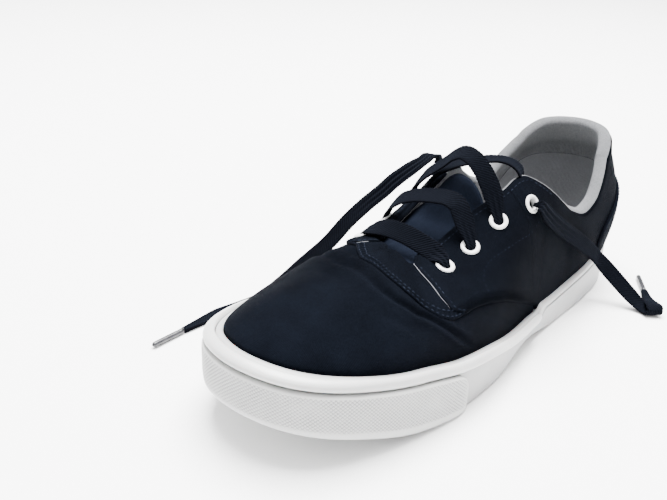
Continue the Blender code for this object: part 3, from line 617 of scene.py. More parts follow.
def bumper_finish(name, low, high):
    """Off-white rubber with a fine moulded diamond pattern, its pits painted dark as shade."""
    made = Finish(name, 0.5)
    run, place = made.run(), made.place()
    raised = made.node("ShaderNodeSeparateXYZ", {0: run}).outputs[2]
    soil = made.math("MULTIPLY", made.noise(place, 0.02, 4), 0.4)
    # The diamonds' pits take the dark end of the ramp: painted shade in the recesses. The soil noise adds
    # real dirt on top.
    made.colour(made.math("ADD", made.math("MULTIPLY", raised, 0.8), soil), low, high, 0.2, 0.8)
    made.bump((made.noise(place, 0.0008, 2), 0.00004))
    return made.made


def knit_finish(name, low, high, pitch, depth):
    """Soft knitted lining with ribs across its run."""
    made = Finish(name, 0.95)
    run, place = made.run(), made.place()
    rib = made.wave(run, pitch)
    loop = made.wave(run, pitch * 0.8, 90)
    fuzz = made.noise(place, 0.0012, 3, 0.7)
    mixed = made.math("ADD", made.math("MULTIPLY", rib, 0.45), made.math("MULTIPLY", fuzz, 0.55))
    made.colour(mixed, low, high, 0.2, 0.75)
    made.bump((fuzz, 0.0003), (rib, depth), (loop, depth * 0.5))
    made.cloth(0.1, (1.0, 1.0, 1.0), 0.5)
    return made.made


def lace_finish(name, low, high):
    """Flat woven lace, lighter on its slanted ribs."""
    made = Finish(name, 0.88)
    run, place = made.run(), made.place()
    rib = made.node("ShaderNodeSeparateXYZ", {0: run}).outputs[2]
    fibre = made.noise(place, 0.0009, 3, 0.7)
    mixed = made.math("ADD", made.math("MULTIPLY", rib, 0.6), made.math("MULTIPLY", fibre, 0.4))
    made.colour(mixed, low, high, 0.25, 0.85)
    made.bump((fibre, 0.0002))
    made.cloth(0.02, (0.45, 0.55, 0.80), 0.4)
    return made.made


def thread_finish(name, low, high):
    """Sewing thread, lighter in places."""
    made = Finish(name, 0.8)
    made.colour(made.noise(made.place(), 0.006, 4, 0.7), low, high, 0.35, 0.75)
    made.cloth(0.02, (0.45, 0.55, 0.80), 0.4)
    return made.made


def plain_finish(name, low, high, rough, size=0.004, depth=0.00002):
    """Smooth or slightly grainy stuff with soft patches of colour."""
    made = Finish(name, rough)
    place = made.place()
    made.colour(made.noise(place, size, 3), low, high, 0.3, 0.7)
    made.bump((made.noise(place, size * 0.3, 2), depth))
    return made.made


NAVY = (0.0007, 0.0010, 0.0020)
NAVY_LIGHT = (0.0026, 0.0036, 0.0064)
FINISHES = {
    "vamp": canvas_finish("vamp_canvas", NAVY, NAVY_LIGHT),
    "quarter": canvas_finish("quarter_canvas", NAVY, NAVY_LIGHT, 8),
    "tongue": canvas_finish("tongue_canvas", (0.0036, 0.0050, 0.0096), (0.0100, 0.0130, 0.0220), 90),
    "webbing": canvas_finish("backstay_webbing", (0.0012, 0.0016, 0.0032), (0.0040, 0.0052, 0.0090), 45),
    # The foxing tape's and the strip's greys, and the bumper's light colour, are far darker than the
    # outsole's same white rubber: painted shade for the sole's sides.
    "rubber": rubber_finish("white_rubber", (0.29, 0.29, 0.295), (0.36, 0.36, 0.36), 0.42),
    "strip": rubber_finish("strip_rubber_painted_shade", (0.41, 0.41, 0.41), (0.49, 0.49, 0.485), 0.32),
    # The bumper's low colour is painted shade for its diamonds' pits, not the rubber's own colour.
    "bumper": bumper_finish("bumper_rubber_painted_shade", (0.08, 0.08, 0.085), (0.47, 0.47, 0.465)),
    "outsole": rubber_finish("outsole_rubber_fine", (0.66, 0.66, 0.65), (0.74, 0.74, 0.73), 0.55, 0.0001),
    "collar": knit_finish("collar_knit", (0.12, 0.125, 0.135), (0.31, 0.315, 0.33), 0.0014, 0.0007),
    "lining": knit_finish("inner_mesh", (0.10, 0.102, 0.11), (0.15, 0.153, 0.16), 0.0016, 0.0001),
    "insole": knit_finish("insole_cloth", (0.42, 0.43, 0.45), (0.56, 0.57, 0.59), 0.0009, 0.00015),
    "piping": plain_finish("piping_cloth", (0.10, 0.105, 0.12), (0.17, 0.175, 0.19), 0.8, 0.002, 0.0001),
    "thread": thread_finish("navy_thread", (0.003, 0.004, 0.008), (0.020, 0.025, 0.038)),
    "lace": lace_finish("woven_lace", (0.0004, 0.0005, 0.0010), (0.0042, 0.0052, 0.0082)),
    "eyelet": plain_finish("enamelled_ring", (0.68, 0.68, 0.68), (0.76, 0.76, 0.76), 0.28),
    "aglet": plain_finish("aglet_plastic", (0.010, 0.010, 0.012), (0.030, 0.030, 0.034), 0.25),
}


# Stitches: thread radius, gap between two, and how each lifts and swells along its length
THREAD_RADIUS = 0.00019
STITCH_SPACE = 0.0009
STITCH_LIFT = (-0.8, 0.5, 0.8, 0.5, -0.8)
STITCH_SWELL = (0.5, 1.0, 1.1, 1.0, 0.5)
STITCH_LINE_POINTS = 900


def add_piece(name, points, faces, finish, run=None, replaces=()):
    """One visible piece from points in the last's frame."""
    mesh = bpy.data.meshes.new(name)
    mesh.from_pydata(world(points).tolist(), [], [tuple(int(i) for i in face) for face in faces])
    if run is not None:
        data = mesh.attributes.new("run", "FLOAT_VECTOR", "POINT")
        flat = np.zeros((len(points), 3), np.float32)
        flat[:, :run.shape[-1]] = run.reshape(-1, run.shape[-1])
        data.data.foreach_set("vector", flat.ravel())
    mesh.materials.append(FINISHES[finish])
    mesh.shade_smooth()
    obj = bpy.data.objects.new(name, mesh)
    bpy.context.scene.collection.objects.link(obj)
    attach(obj, "root")
    if replaces:
        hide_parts(*replaces)
    return obj


def grid_faces(columns, rows, keep=None):
    """Quads of a grid of points, looking outwards; keep drops those whose first corner is False."""
    i = np.arange(columns - 1)[:, None]
    k = np.arange(rows - 1)[None, :]
    j = i + 1
    faces = np.stack([i * rows + k, i * rows + k + 1, j * rows + k + 1, j * rows + k], axis=-1)
    if keep is not None:
        faces = faces[keep[:faces.shape[0], :faces.shape[1]]]
    return faces.reshape(-1, 4)


def along_run(grid):
    """Lengths along the columns and up the rows of a grid, for the materials."""
    across = np.linalg.norm(np.diff(grid, axis=0), axis=2).mean(axis=1)
    u = np.concatenate([[0], np.cumsum(across)])[:, None] * np.ones(grid.shape[1])
    up = np.linalg.norm(np.diff(grid, axis=1), axis=2)
    v = np.concatenate([np.zeros((grid.shape[0], 1)), np.cumsum(up, axis=1)], axis=1)
    return np.dstack([u, v])


def sheet_piece(name, grid, finish, closed=False, keep=None, replaces=()):
    """Sheet through a grid of points; a closed one repeats its first column."""
    if closed:
        grid = np.concatenate([grid, grid[:1]])
    columns, rows = grid.shape[:2]
    faces = grid_faces(columns, rows, keep)
    return add_piece(name, grid.reshape(-1, 3), faces, finish, along_run(grid), replaces)


def section_faces(columns, rows, closed=False):
    """Quads between closed sections, looking outwards, and a cap at each end of an open run."""
    i = np.arange(columns if closed else columns - 1)[:, None]
    k = np.arange(rows)[None, :]
    j, m = (i + 1) % columns, (k + 1) % rows
    faces = np.stack([i * rows + k, i * rows + m, j * rows + m, j * rows + k], axis=-1)
    faces = faces.reshape(-1, 4).tolist()
    if not closed:
        faces.append(list(range(rows))[::-1])
        faces.append([(columns - 1) * rows + n for n in range(rows)])
    return faces


def loft_piece(name, grid, finish, closed=False, replaces=(), flip=False, height=None):
    """Solid through closed sections; height is kept beside the run for the material."""
    faces = section_faces(grid.shape[0], grid.shape[1], closed)
    if flip:
        faces = [face[::-1] for face in faces]
    run = along_run(grid)
    if height is not None:
        run = np.dstack([run, height])
    return add_piece(name, grid.reshape(-1, 3), faces, finish, run, replaces)


def tube(points, radius, sides=8):
    """Grid of a round tube along points; radius may differ along it."""
    points = np.asarray(points, float)
    along = unit(np.gradient(points, axis=0))
    side = unit(np.cross(along, [0.0, 0.0, 1.0]), TINY)
    up = np.cross(side, along)
    angles = np.linspace(0, 2 * np.pi, sides, endpoint=False)
    radius = np.broadcast_to(radius, len(points))
    turn = side[:, None] * np.cos(angles)[None, :, None] + up[:, None] * np.sin(angles)[None, :, None]
    return points[:, None] + turn * radius[:, None, None]


def stitches(name, u, s, away, length=0.0019):
    """Row of small stitches lying on the skin along a line of columns and lengths."""
    fine = np.linspace(0, len(u) - 1, STITCH_LINE_POINTS)
    u, s, away = (np.interp(fine, np.arange(len(u)), np.broadcast_to(a, len(u))) for a in (u, s, away))
    line, normal = SKIN.place(u, s, away)
    run = running(line)
    rings, sides = len(STITCH_LIFT), 6
    points, faces, total = [], [], 0
    for begin in np.arange(0, run[-1] - length, length + STITCH_SPACE):
        at = begin + length * np.linspace(0, 1, rings)
        lift = THREAD_RADIUS * np.array(STITCH_LIFT)
        centre = np.column_stack([np.interp(at, run, line[:, k]) for k in range(3)])
        centre += lift[:, None] * np.column_stack([np.interp(at, run, normal[:, k]) for k in range(3)])
        points.append(tube(centre, THREAD_RADIUS * np.array(STITCH_SWELL), sides).reshape(-1, 3))
        for i in range(rings - 1):
            for k in range(sides):
                m = (k + 1) % sides
                low, high = total + i * sides, total + (i + 1) * sides
                faces.append([low + k, low + m, high + m, high + k])
        total += rings * sides
    return add_piece(name, np.vstack(points), faces, "thread")


def ribbon(name, centre, face, width, thick, replaces, pleat):
    """Flat woven lace along centre points, with slanted ribs; face is the way its flat side looks."""
    centre, face = np.asarray(centre, float), np.asarray(face, float)
    along = unit(np.gradient(centre, axis=0))
    face = unit(face - (face * along).sum(axis=1)[:, None] * along)
    across = np.cross(along, face)
    count = len(centre)
    width, thick, pleat = (np.broadcast_to(value, count)[:, None] for value in (width, thick, pleat))
    length = running(centre)[:, None]
    half = np.sin(np.linspace(1.25, -1.25, LACE_ACROSS)) / np.sin(1.25)
    flat = np.concatenate([half, half[-2:0:-1]])[None, :]
    side = np.concatenate([np.ones(LACE_ACROSS), -np.ones(LACE_ACROSS - 2)])[None, :]
    body = (1 - np.abs(flat) ** 6) ** (1 / 3)
    reach = flat * width / 2
    rib = 0.5 + 0.5 * np.cos(2 * np.pi * (length * 0.72 + side * reach * 0.69) / LACE_RIB)
    edge = 1 + 0.025 * np.cos(2 * np.pi * length / (1.4 * LACE_RIB)) * np.abs(flat) ** 3
    fold = pleat * np.cos(2 * np.pi * reach / PLEAT) * (1 - flat**4)
    rise = side * body * (thick / 2 + LACE_RELIEF * (rib - 0.5)) + LACE_CUP * width * (flat**2 - 0.5) + fold
    grid = centre[:, None] + across[:, None] * (reach * edge)[:, :, None] + face[:, None] * rise[:, :, None]
    faces = [turned[::-1] for turned in section_faces(*grid.shape[:2])]
    run = np.dstack([length * np.ones_like(flat), reach, rib * body])
    return add_piece(name, grid.reshape(-1, 3), faces, "lace", run, replaces)


def standing(x, y, z, place):
    """Matrix with the given axes and place."""
    matrix = np.eye(4)
    matrix[:3, :] = np.column_stack([x, y, z, place])
    return Matrix(matrix.tolist())


# Camera, at the photograph's angle to the shoe

# Place in the last's frame, turn in degrees, focal length and width in the photograph's pixels
CAMERA_PLACE = (0.47678 - 0.0038, 0.20973, 0.2285)
CAMERA_AZIMUTH = 221.43976
CAMERA_DOWN = 25.27984
CAMERA_ROLL = 2.14389
FOCAL_PIXELS = 810.354
PHOTO_WIDTH = 667.0
SENSOR = 36.0


def add_camera():
    """Camera with the photograph's view of the shoe."""
    azimuth, down, roll = np.radians([CAMERA_AZIMUTH, CAMERA_DOWN, CAMERA_ROLL])
    ahead = np.array([np.cos(down) * np.cos(azimuth), np.cos(down) * np.sin(azimuth), -np.sin(down)])
    right = unit(np.cross(ahead, [0.0, 0.0, 1.0]))
    up = np.cross(right, ahead)
    turned_right = np.cos(roll) * right + np.sin(roll) * up
    turned_up = -np.sin(roll) * right + np.cos(roll) * up
    data = bpy.data.cameras.new("camera")
    data.sensor_fit = "HORIZONTAL"
    data.sensor_width = SENSOR
    data.lens = FOCAL_PIXELS * SENSOR / PHOTO_WIDTH
    data.clip_start = 0.01
    camera = bpy.data.objects.new("camera", data)
    camera.matrix_world = standing(turned_right, turned_up, -ahead, world(CAMERA_PLACE))
    bpy.context.scene.collection.objects.link(camera)
    bpy.context.scene.camera = camera


# The lace: points of each run in millimetres, then the way the flat side looks

LATERAL_END = (
    (121.4, 33.5, 78.2, 0.4, 0.5, -0.8),
    (121.2, 36.6, 78.2, 0.1, 0.8, 0.4),
    (117.2, 38.0, 74.2, 0.1, 0.9, 0.35),
    (110.3, 38.6, 68.6, 0.0, 0.97, 0.2),
    (102.2, 39.0, 62.9, 0.0, 1.0, 0.1),
    (90.2, 39.3, 55.2, 0.0, 1.0, 0.05),
    (79.9, 40.0, 48.6, 0.0, 1.0, 0.05),
    (68.5, 40.8, 41.2, 0.0, 1.0, 0.1),
    (58.4, 41.8, 34.0, 0.2, 0.9, 0.35),
    (50.8, 43.2, 27.4, 0.4, 0.65, 0.6),
    (47.0, 48.4, 21.0, 0.6, 0.45, 0.6),
    (44.2, 55.2, 14.2, 0.6, 0.45, 0.65),
    (42.0, 62.6, 7.6, 0.5, 0.4, 0.75),
    (41.0, 69.0, 3.0, 0.2, 0.2, 0.95),
    (41.5, 73.4, 1.4, 0.0, 0.0, 1.0),
    (43.2, 76.6, 1.9, -0.3, -0.3, 0.9),
    (43.6, 78.5, 4.1, -0.8, -0.7, 0.0),
    (41.6, 77.2, 5.9, -0.2, -0.1, -1.0),
    (36.9, 73.7, 5.0, 0.2, 0.1, -1.0),
    (31.2, 69.7, 3.2, 0.2, 0.1, -1.0),
    (25.7, 66.1, 2.2, 0.0, 0.0, -1.0),
    (19.8, 62.3, 2.1, 0.0, 0.0, -1.0),
)
MEDIAL_END = (
    (122.2, -24.8, 85.6, 0.4, 0.3, -0.8),
    (123.4, -27.4, 88.4, 0.3, -0.2, 0.9),
    (128.0, -28.2, 90.4, 0.3, -0.1, 0.9),
    (133.5, -28.6, 88.6, 0.4, -0.1, 0.9),
    (139.0, -32.0, 84.6, 0.6, 0.1, 0.8),
    (146.0, -37.0, 78.4, 0.7, 0.2, 0.7),
    (152.0, -40.8, 72.2, 0.7, 0.2, 0.7),
    (158.0, -45.8, 65.4, 0.7, 0.2, 0.7),
    (166.0, -51.8, 55.6, 0.7, 0.2, 0.7),
    (174.0, -58.4, 43.0, 0.7, 0.2, 0.7),
    (182.0, -68.6, 29.3, 0.6, 0.3, 0.7),
    (190.0, -80.0, 14.5, 0.5, 0.3, 0.8),
    (197.5, -89.5, 4.4, 0.2, 0.2, 0.9),
    (207.0, -95.6, 1.3, 0.0, 0.0, 1.0),
    (219.0, -97.4, 1.2, 0.0, 0.0, 1.0),
    (232.0, -96.9, 1.4, 0.0, 0.0, 1.0),
    (245.6, -95.9, 1.7, 0.0, 0.0, 1.0),
)
CROSSINGS = {
    "lace_bar_1": (
        (178.1, 21.2, 55.6, 0.1, 1.0, 0.0),
        (178.1, 20.9, 58.6, 0.1, 0.9, 0.3),
        (178.0, 19.0, 61.4, 0.2, 0.5, 0.8),
        (178.0, 14.0, 63.4, 0.7, 0.35, 0.6),
        (178.0, 5.1, 65.6, 0.75, 0.3, 0.6),
        (178.0, -3.2, 67.0, 0.75, 0.2, 0.65),
        (178.0, -12.6, 67.2, 0.7, 0.1, 0.7),
        (178.0, -21.1, 65.4, 0.5, -0.2, 0.8),
        (178.0, -26.4, 62.8, 0.3, -0.5, 0.8),
        (178.1, -29.8, 59.6, 0.1, -0.9, 0.3),
        (178.1, -30.8, 55.6, 0.1, -1.0, 0.0),
    ),
    "lace_bar_2": (
        (159.8, 23.2, 60.0, 0.4, 0.9, -0.1),
        (159.5, 22.4, 63.4, 0.5, 0.8, 0.1),
        (158.3, 19.6, 68.0, 0.6, 0.7, 0.3),
        (157.4, 16.2, 73.0, 0.6, 0.7, 0.4),
        (156.6, 13.0, 77.4, 0.6, 0.6, 0.5),
        (156.0, 9.6, 81.2, 0.5, 0.4, 0.7),
        (156.6, 4.5, 82.9, 0.5, 0.1, 0.9),
        (157.6, -1.8, 82.4, 0.5, 0.0, 0.9),
        (158.5, -8.5, 81.2, 0.5, -0.1, 0.9),
        (159.4, -15.0, 79.2, 0.5, -0.2, 0.9),
        (160.0, -21.4, 76.0, 0.5, -0.4, 0.8),
        (160.0, -26.2, 71.4, 0.4, -0.6, 0.7),
        (159.8, -29.6, 66.0, 0.3, -0.8, 0.4),
        (159.3, -31.6, 61.8, 0.2, -0.9, 0.2),
        (159.3, -31.8, 58.4, 0.1, -1.0, 0.0),
    ),
    "lace_bar_3": (
        (141.4, 25.6, 68.8, 0.6, 0.8, -0.1),
        (140.9, 25.0, 71.8, 0.6, 0.7, 0.1),
        (139.6, 22.6, 76.6, 0.7, 0.7, 0.2),
        (138.5, 19.2, 83.0, 0.7, 0.6, 0.3),
        (138.0, 15.2, 89.3, 0.6, 0.6, 0.4),
        (138.0, 10.2, 95.5, 0.6, 0.5, 0.6),
        (138.0, 4.8, 99.6, 0.5, 0.2, 0.8),
        (138.0, -1.0, 100.9, 0.5, 0.0, 0.9),
        (138.0, -6.3, 98.2, 0.5, -0.4, 0.8),
        (138.0, -11.2, 93.6, 0.5, -0.5, 0.7),
        (138.0, -16.8, 88.8, 0.5, -0.6, 0.6),
        (138.4, -22.5, 83.6, 0.5, -0.7, 0.5),
        (139.2, -26.8, 77.6, 0.4, -0.8, 0.4),
        (140.0, -29.4, 71.6, 0.3, -0.9, 0.2),
        (140.2, -30.2, 66.4, 0.2, -1.0, 0.0),
    ),
    "lace_strand": (
        (112.8, 19.2, 79.0, -0.3, 0.9, 0.1),
        (113.4, 19.4, 85.0, -0.3, 0.9, 0.2),
        (115.0, 19.8, 90.4, -0.2, 0.8, 0.5),
        (117.0, 16.8, 94.3, -0.1, 0.4, 0.9),
        (118.0, 10.5, 95.4, 0.0, 0.1, 1.0),
        (120.0, 3.9, 94.6, 0.1, 0.0, 1.0),
        (124.0, -1.5, 93.4, 0.1, -0.1, 1.0),
        (128.0, -7.0, 91.8, 0.2, -0.2, 1.0),
        (132.5, -13.0, 88.6, 0.3, -0.3, 0.9),
        (136.0, -17.2, 84.4, 0.3, -0.6, 0.7),
        (138.0, -19.5, 79.5, 0.3, -0.8, 0.4),
        (139.0, -21.5, 75.0, 0.3, -0.9, 0.2),
    ),
}


def lace_line(route, count):
    """Even points along a run of the lace, and the way its flat side looks at each."""
    route = np.array(route)
    line = spline(route[:, :3] / 1000, count)
    near = [np.argmin(((line - point) ** 2).sum(axis=1)) for point in route[:, :3] / 1000]
    near = np.maximum.accumulate(near)
    return line, np.column_stack([np.interp(np.arange(count), near, route[:, 3 + k]) for k in range(3)])


def lace_end(side, route):
    """A free end of the lace with its stiff tip."""
    line, face = lace_line(route, LACE_END_POINTS)
    t = np.linspace(0, 1, LACE_END_POINTS)
    width = LACE_WIDTH * np.interp(t, [0, 0.05, 0.86, 1], [0.5, 1.0, 1.0, 0.40])
    thick = LACE_THICKNESS * np.interp(t, [0, 0.05, 0.86, 1], [1.5, 1.0, 1.0, 1.7])
    pleat = 0.00035 * np.interp(t, [0, 0.04, 0.2, 0.34], [0, 1, 1, 0])
    piece = ribbon(f"lace_end_{side}_fine", line, face, width, thick, [f"lace_end_{side}"], pleat)
    ahead = unit(line[-1] - line[-2])
    t = np.linspace(0, 1, AGLET_RINGS)
    radius = AGLET_DIAMETER / 2 * np.interp(t, [0, 0.02, 0.9, 0.97, 1], [0.85, 1.0, 0.92, 0.8, 0.35])
    radius = radius * (1 - 0.05 * ((t > 0.12) & (t < 0.2)))
    grid = tube(line[-1] + ahead * (GAP + AGLET_LENGTH * t)[:, None], radius, AGLET_SIDES)
    tip = loft_piece(f"aglet_{side}_fine", grid, "aglet", replaces=[f"aglet_{side}"])


def lace_crossings():
    """The runs of the lace between eyelets, each starting and ending inside a hole."""
    for name, route in CROSSINGS.items():
        line, face = lace_line(route, CROSSING_POINTS)
        t = np.linspace(0, 1, CROSSING_POINTS)
        width = LACE_WIDTH * np.interp(t, [0, 0.07, 0.18, 0.82, 0.93, 1], [0.5, 0.58, 1.08, 1.08, 0.58, 0.5])
        thick = LACE_THICKNESS * np.interp(t, [0, 0.07, 0.18, 0.82, 0.93, 1], [1.6, 1.5, 1.0, 1.0, 1.5, 1.6])
        pleat = 0.0003 * np.interp(t, [0, 0.08, 0.25, 0.75, 0.92, 1], [0, 1, 0, 0, 1, 0])
        ribbon(f"{name}_fine", line, face, width, thick, [name], pleat)


add_camera()
lace_end("lateral", LATERAL_END)
lace_end("medial", MEDIAL_END)
lace_crossings()


# Upper

VAMP_SEAM_DEPTH = 0.005
VAMP_ROWS = 110
QUARTER_ROWS = 100
# Length at which a sheet starts, below the rubber's top edge
LOW = -0.003
# The band's folded edge: lengths above its seam and heights over the vamp
BAND_EDGE = ((0.0, -0.0002), (0.00008, 0.00045), (0.0003, 0.00085), (0.0007, 0.0010), (0.0012, 0.00095))


def row_run(low, high, shares):
    """Lengths between two per-column limits, at the given shares."""
    return low[:, None] + (high - low)[:, None] * np.asarray(shares)[None, :]


def holes(points):
    """True where a canvas point is clear of every eyelet's hole."""
    keep = np.ones(points.shape[:2], bool)
    for name, centre, normal in EYELET_PLACES:
        keep &= np.linalg.norm(points - centre, axis=2) > EYELET_BARREL / 2 + 0.0007
    return keep


def eyelet_places():
    """Centre and normal of each eyelet, by side and row from the toe end."""
    places = []
    for side, word in ((1, "lateral"), (-1, "medial")):
        for row, lateral, medial in EYELETS:
            x = EYELET_FIRST - EYELET_SPACING * row
            span = EYELET_HALF_SPAN * (lateral if side > 0 else medial)
            point, normal = SKIN.by_plan(x, float(LastWall.ridge_side(x)) + side * span)
            places.append((f"eyelet_{word}_{row + 1}", point + normal * QUARTER_STEP, normal))
    return places


EYELET_PLACES = eyelet_places()


def make_vamp():
    """Toe part of the upper, up to a little under the band's edge."""
    columns = np.arange(SKIN_COLUMNS)[SKIN.seam > 0.002].astype(float)
    seam = SKIN.read(SKIN.seam, columns)
    high = np.minimum(seam + VAMP_SEAM_DEPTH, SKIN.read(SKIN.top, columns) - 0.0005)
    rows = row_run(np.zeros_like(seam), high, np.linspace(0, 1, VAMP_ROWS))
    s = np.column_stack([np.full(len(columns), LOW), rows])
    under = ramp(s, (seam - 0.001)[:, None], (seam + 0.001)[:, None]) * -0.0003
    points, normal = SKIN.place(columns[:, None], s)
    points = points + normal * (under + relief(points) * ramp(s, 0.0, 0.006))[:, :, None]
    return sheet_piece("vamp", points, "vamp")


def make_quarter():
    """Quarters and the band over the vamp seam: one ring from the seam or the rubber to the rim."""
    columns = np.arange(SKIN_COLUMNS).astype(float)
    seam, top = SKIN.seam, SKIN.top
    low = np.where(seam > 0.002, seam, 0.0)
    edge_rows, edge_away = np.array(BAND_EDGE).T
    rows = row_run(low + edge_rows[-1], top, np.linspace(0, 1, QUARTER_ROWS)[1:])
    s = np.concatenate([low[:, None] + edge_rows[None, :], rows], axis=1)
    away = np.concatenate([
        np.tile(edge_away, (SKIN_COLUMNS, 1)), np.full(rows.shape, QUARTER_STEP)], axis=1)
    s[low == 0, 0] = LOW
    away[low == 0, :2] = 0.0006
    u = columns[:, None]
    points, normal = SKIN.place(u, s)
    moved = relief(points) * ramp(s, low[:, None] + 0.0005, low[:, None] + 0.004)
    moved *= 1 - ramp(s, (top - 0.006)[:, None], (top - 0.001)[:, None])
    moved += puckers(u, s) * ramp(s, low[:, None], low[:, None] + 0.0015)
    return points + normal * (away + moved)[:, :, None]


def rim_frame():
    """Outer and inner edge points of the rim and its rise, for each column."""
    columns = np.arange(SKIN_COLUMNS).astype(float)
    outer = SKIN.place(columns, SKIN.top, QUARTER_STEP)[0]
    padded = 1 - ramp(SKIN.share, 0.27, 0.37)
    thick = CANVAS_WALL + np.maximum(COLLAR_PAD * padded - CANVAS_WALL, 0)
    inner = SKIN.place(columns, SKIN.top, -thick)[0]
    rise = outer - SKIN.place(columns, SKIN.top - 0.002, QUARTER_STEP)[0]
    rise *= (np.linalg.norm(outer - inner, axis=1) / 2 / np.linalg.norm(rise, axis=1))[:, None]
    return (outer + inner) / 2, (outer - inner) / 2, rise, padded


def relief(points):
    """Height of the creases and puckers of the cloth over the smooth last."""
    height = np.zeros(points.shape[:-1])
    for line, depth, width in CREASES:
        far, along = near_line(points, np.array(line) / 1000)
        fade = np.sin(np.pi * np.clip(along, 0.02, 0.98)) ** 0.6
        valley = -depth * np.exp(-(far / width) ** 2)
        shoulder = 0.55 * depth * np.exp(-((far - 2.0 * width) / (1.2 * width)) ** 2)
        height += (valley + shoulder) * fade
    return height


def puckers(u, s):
    """Small ripples of the cloth between the two rows of stitches over the vamp seam."""
    pitch, half, high = PUCKERS
    far = s - SKIN.read(SKIN.seam, u) - 0.0022
    run = SKIN.read(SKIN.run, u)
    wave = np.sin(2 * np.pi * (run + 0.8 * far) / pitch + 1.3 * np.sin(run * 190.0))
    return high * wave * np.exp(-(far / half) ** 2) * ramp(SKIN.read(SKIN.seam, u), 0.008, 0.016)


def near_line(points, line):
    """Distance from each point to a line of points, and the share of the line's length there."""
    flat = points.reshape(-1, 3)
    best = np.full(len(flat), 1e9)
    where = np.zeros(len(flat))
    lengths = np.linalg.norm(np.diff(line, axis=0), axis=1)
    start = running(line)
    for a, b, length, before in zip(line[:-1], line[1:], lengths, start):
        t = np.clip(((flat - a) @ (b - a)) / length**2, 0, 1)
        far = np.linalg.norm(flat - (a + t[:, None] * (b - a)), axis=1)
        closer = far < best
        best[closer] = far[closer]
        where[closer] = (before + t[closer] * length) / start[-1]
    return best.reshape(points.shape[:-1]), where.reshape(points.shape[:-1])


# Creases of the cloth: points in millimetres, depth and half width in metres
CREASES = (
    (((199.0, -43.0, 49.0), (203.0, -37.1, 53.0), (207.4, -26.7, 56.8), (210.4, -17.7, 58.4),
      (210.6, -10.2, 59.2), (211.5, -2.9, 59.2), (213.8, 5.2, 58.4), (215.8, 12.7, 57.0),
      (216.7, 21.1, 55.0), (214.5, 30.0, 51.2)), 0.0013, 0.0026),
    (((213.8, 5.2, 58.2), (215.8, 12.7, 56.9), (216.2, 21.1, 54.9), (213.0, 31.5, 50.8), (205.3, 38.4, 45.5),
      (198.8, 42.9, 39.5), (189.1, 45.7, 30.8), (184.0, 46.0, 27.0)), 0.0012, 0.0015),
    (((221.0, -20.0, 57.0), (223.0, -10.0, 57.5), (225.5, 2.0, 57.0)), 0.0004, 0.0030),
    (((228.0, 24.0, 51.5), (222.0, 32.0, 48.5), (213.0, 38.0, 44.0)), 0.0004, 0.0022),
    (((176.0, 41.5, 40.0), (166.0, 42.5, 35.5), (154.0, 42.0, 29.5)), 0.0004, 0.0022),
    (((93.0, 36.8, 51.0), (84.0, 36.6, 42.0), (78.0, 36.5, 32.0)), 0.0005, 0.0035),
    (((70.0, 36.6, 46.0), (60.0, 36.6, 38.0), (52.0, 35.8, 30.0)), 0.0004, 0.0030),
)
# Puckers along the double stitching: pitch, half width and height
PUCKERS = (0.0029, 0.0030, 0.00030)


# Shares of the length: the rim is navy ahead of the first, all of the lining ahead of the second
COLLAR_FRONT = 0.468
LINING_FRONT = 0.655
NAVY_ROWS = 13
LINING_ROWS = 14


def rim_rows(middle, half, rise, degrees, swell=1.0):
    """Rows round the rim, from its outer edge over the top."""
    turn = np.radians(degrees)
    return (middle[:, None] + half[:, None] * (np.cos(turn) * swell)[None, :, None]
            + rise[:, None] * (np.sin(turn) * swell)[None, :, None])


def make_upper():
    """Vamp, quarters, collar and lining."""
    make_vamp()
    outer = make_quarter()
    middle, half, rise, padded = rim_frame()
    grid = np.concatenate([outer[:, :-1], rim_rows(middle, half, rise, np.linspace(0, 28, 4))], axis=1)
    sheet_piece("quarters", grid, "quarter", True, holes(grid), ["upper"])
    swell = 1 + 0.10 * np.sin(np.radians(np.linspace(0, 180, 26)))
    rim = rim_rows(middle, half, rise, np.linspace(20, 180, 26), swell)
    below = np.concatenate([[0.0015, 0.003, 0.005], np.linspace(0.008, 0.022, 10)])
    columns = np.arange(SKIN_COLUMNS).astype(float)[:, None]
    s = np.maximum(SKIN.top[:, None] - below[None, :], 0.0005)
    pad = COLLAR_PAD * padded[:, None] * (1 - ramp(below[None, :], 0.25 * COLLAR_PAD_DEPTH, COLLAR_PAD_DEPTH))
    inner = SKIN.place(columns, s, -(CANVAS_WALL + np.maximum(pad - CANVAS_WALL, 0)))[0]
    collar = np.concatenate([rim, inner], axis=1)
    piece = sheet_piece("collar_lining", collar, "collar", True)
    piece.data.materials.append(FINISHES["quarter"])
    row = np.arange(collar.shape[1] - 1)[None, :]
    rim_navy = (SKIN.share > COLLAR_FRONT)[:, None] & (row < NAVY_ROWS)
    front = ((SKIN.share > LINING_FRONT)[:, None] | rim_navy).reshape(-1)
    piece.data.polygons.foreach_set("material_index", front.astype(np.int32))
    low = np.minimum(s[:, -1], SKIN.top)
    rows = low[:, None] * np.linspace(1, 0, LINING_ROWS)[None, :]
    wall = SKIN.place(columns, rows, -CANVAS_WALL - GAP)[0]
    foot = np.column_stack([SKIN.edge - SKIN.out * (CANVAS_WALL + GAP), outsole_top(SKIN.share) + GAP])
    sheet_piece("inner_lining", np.concatenate([wall, foot[:, None]], axis=1), "lining", True)


make_upper()


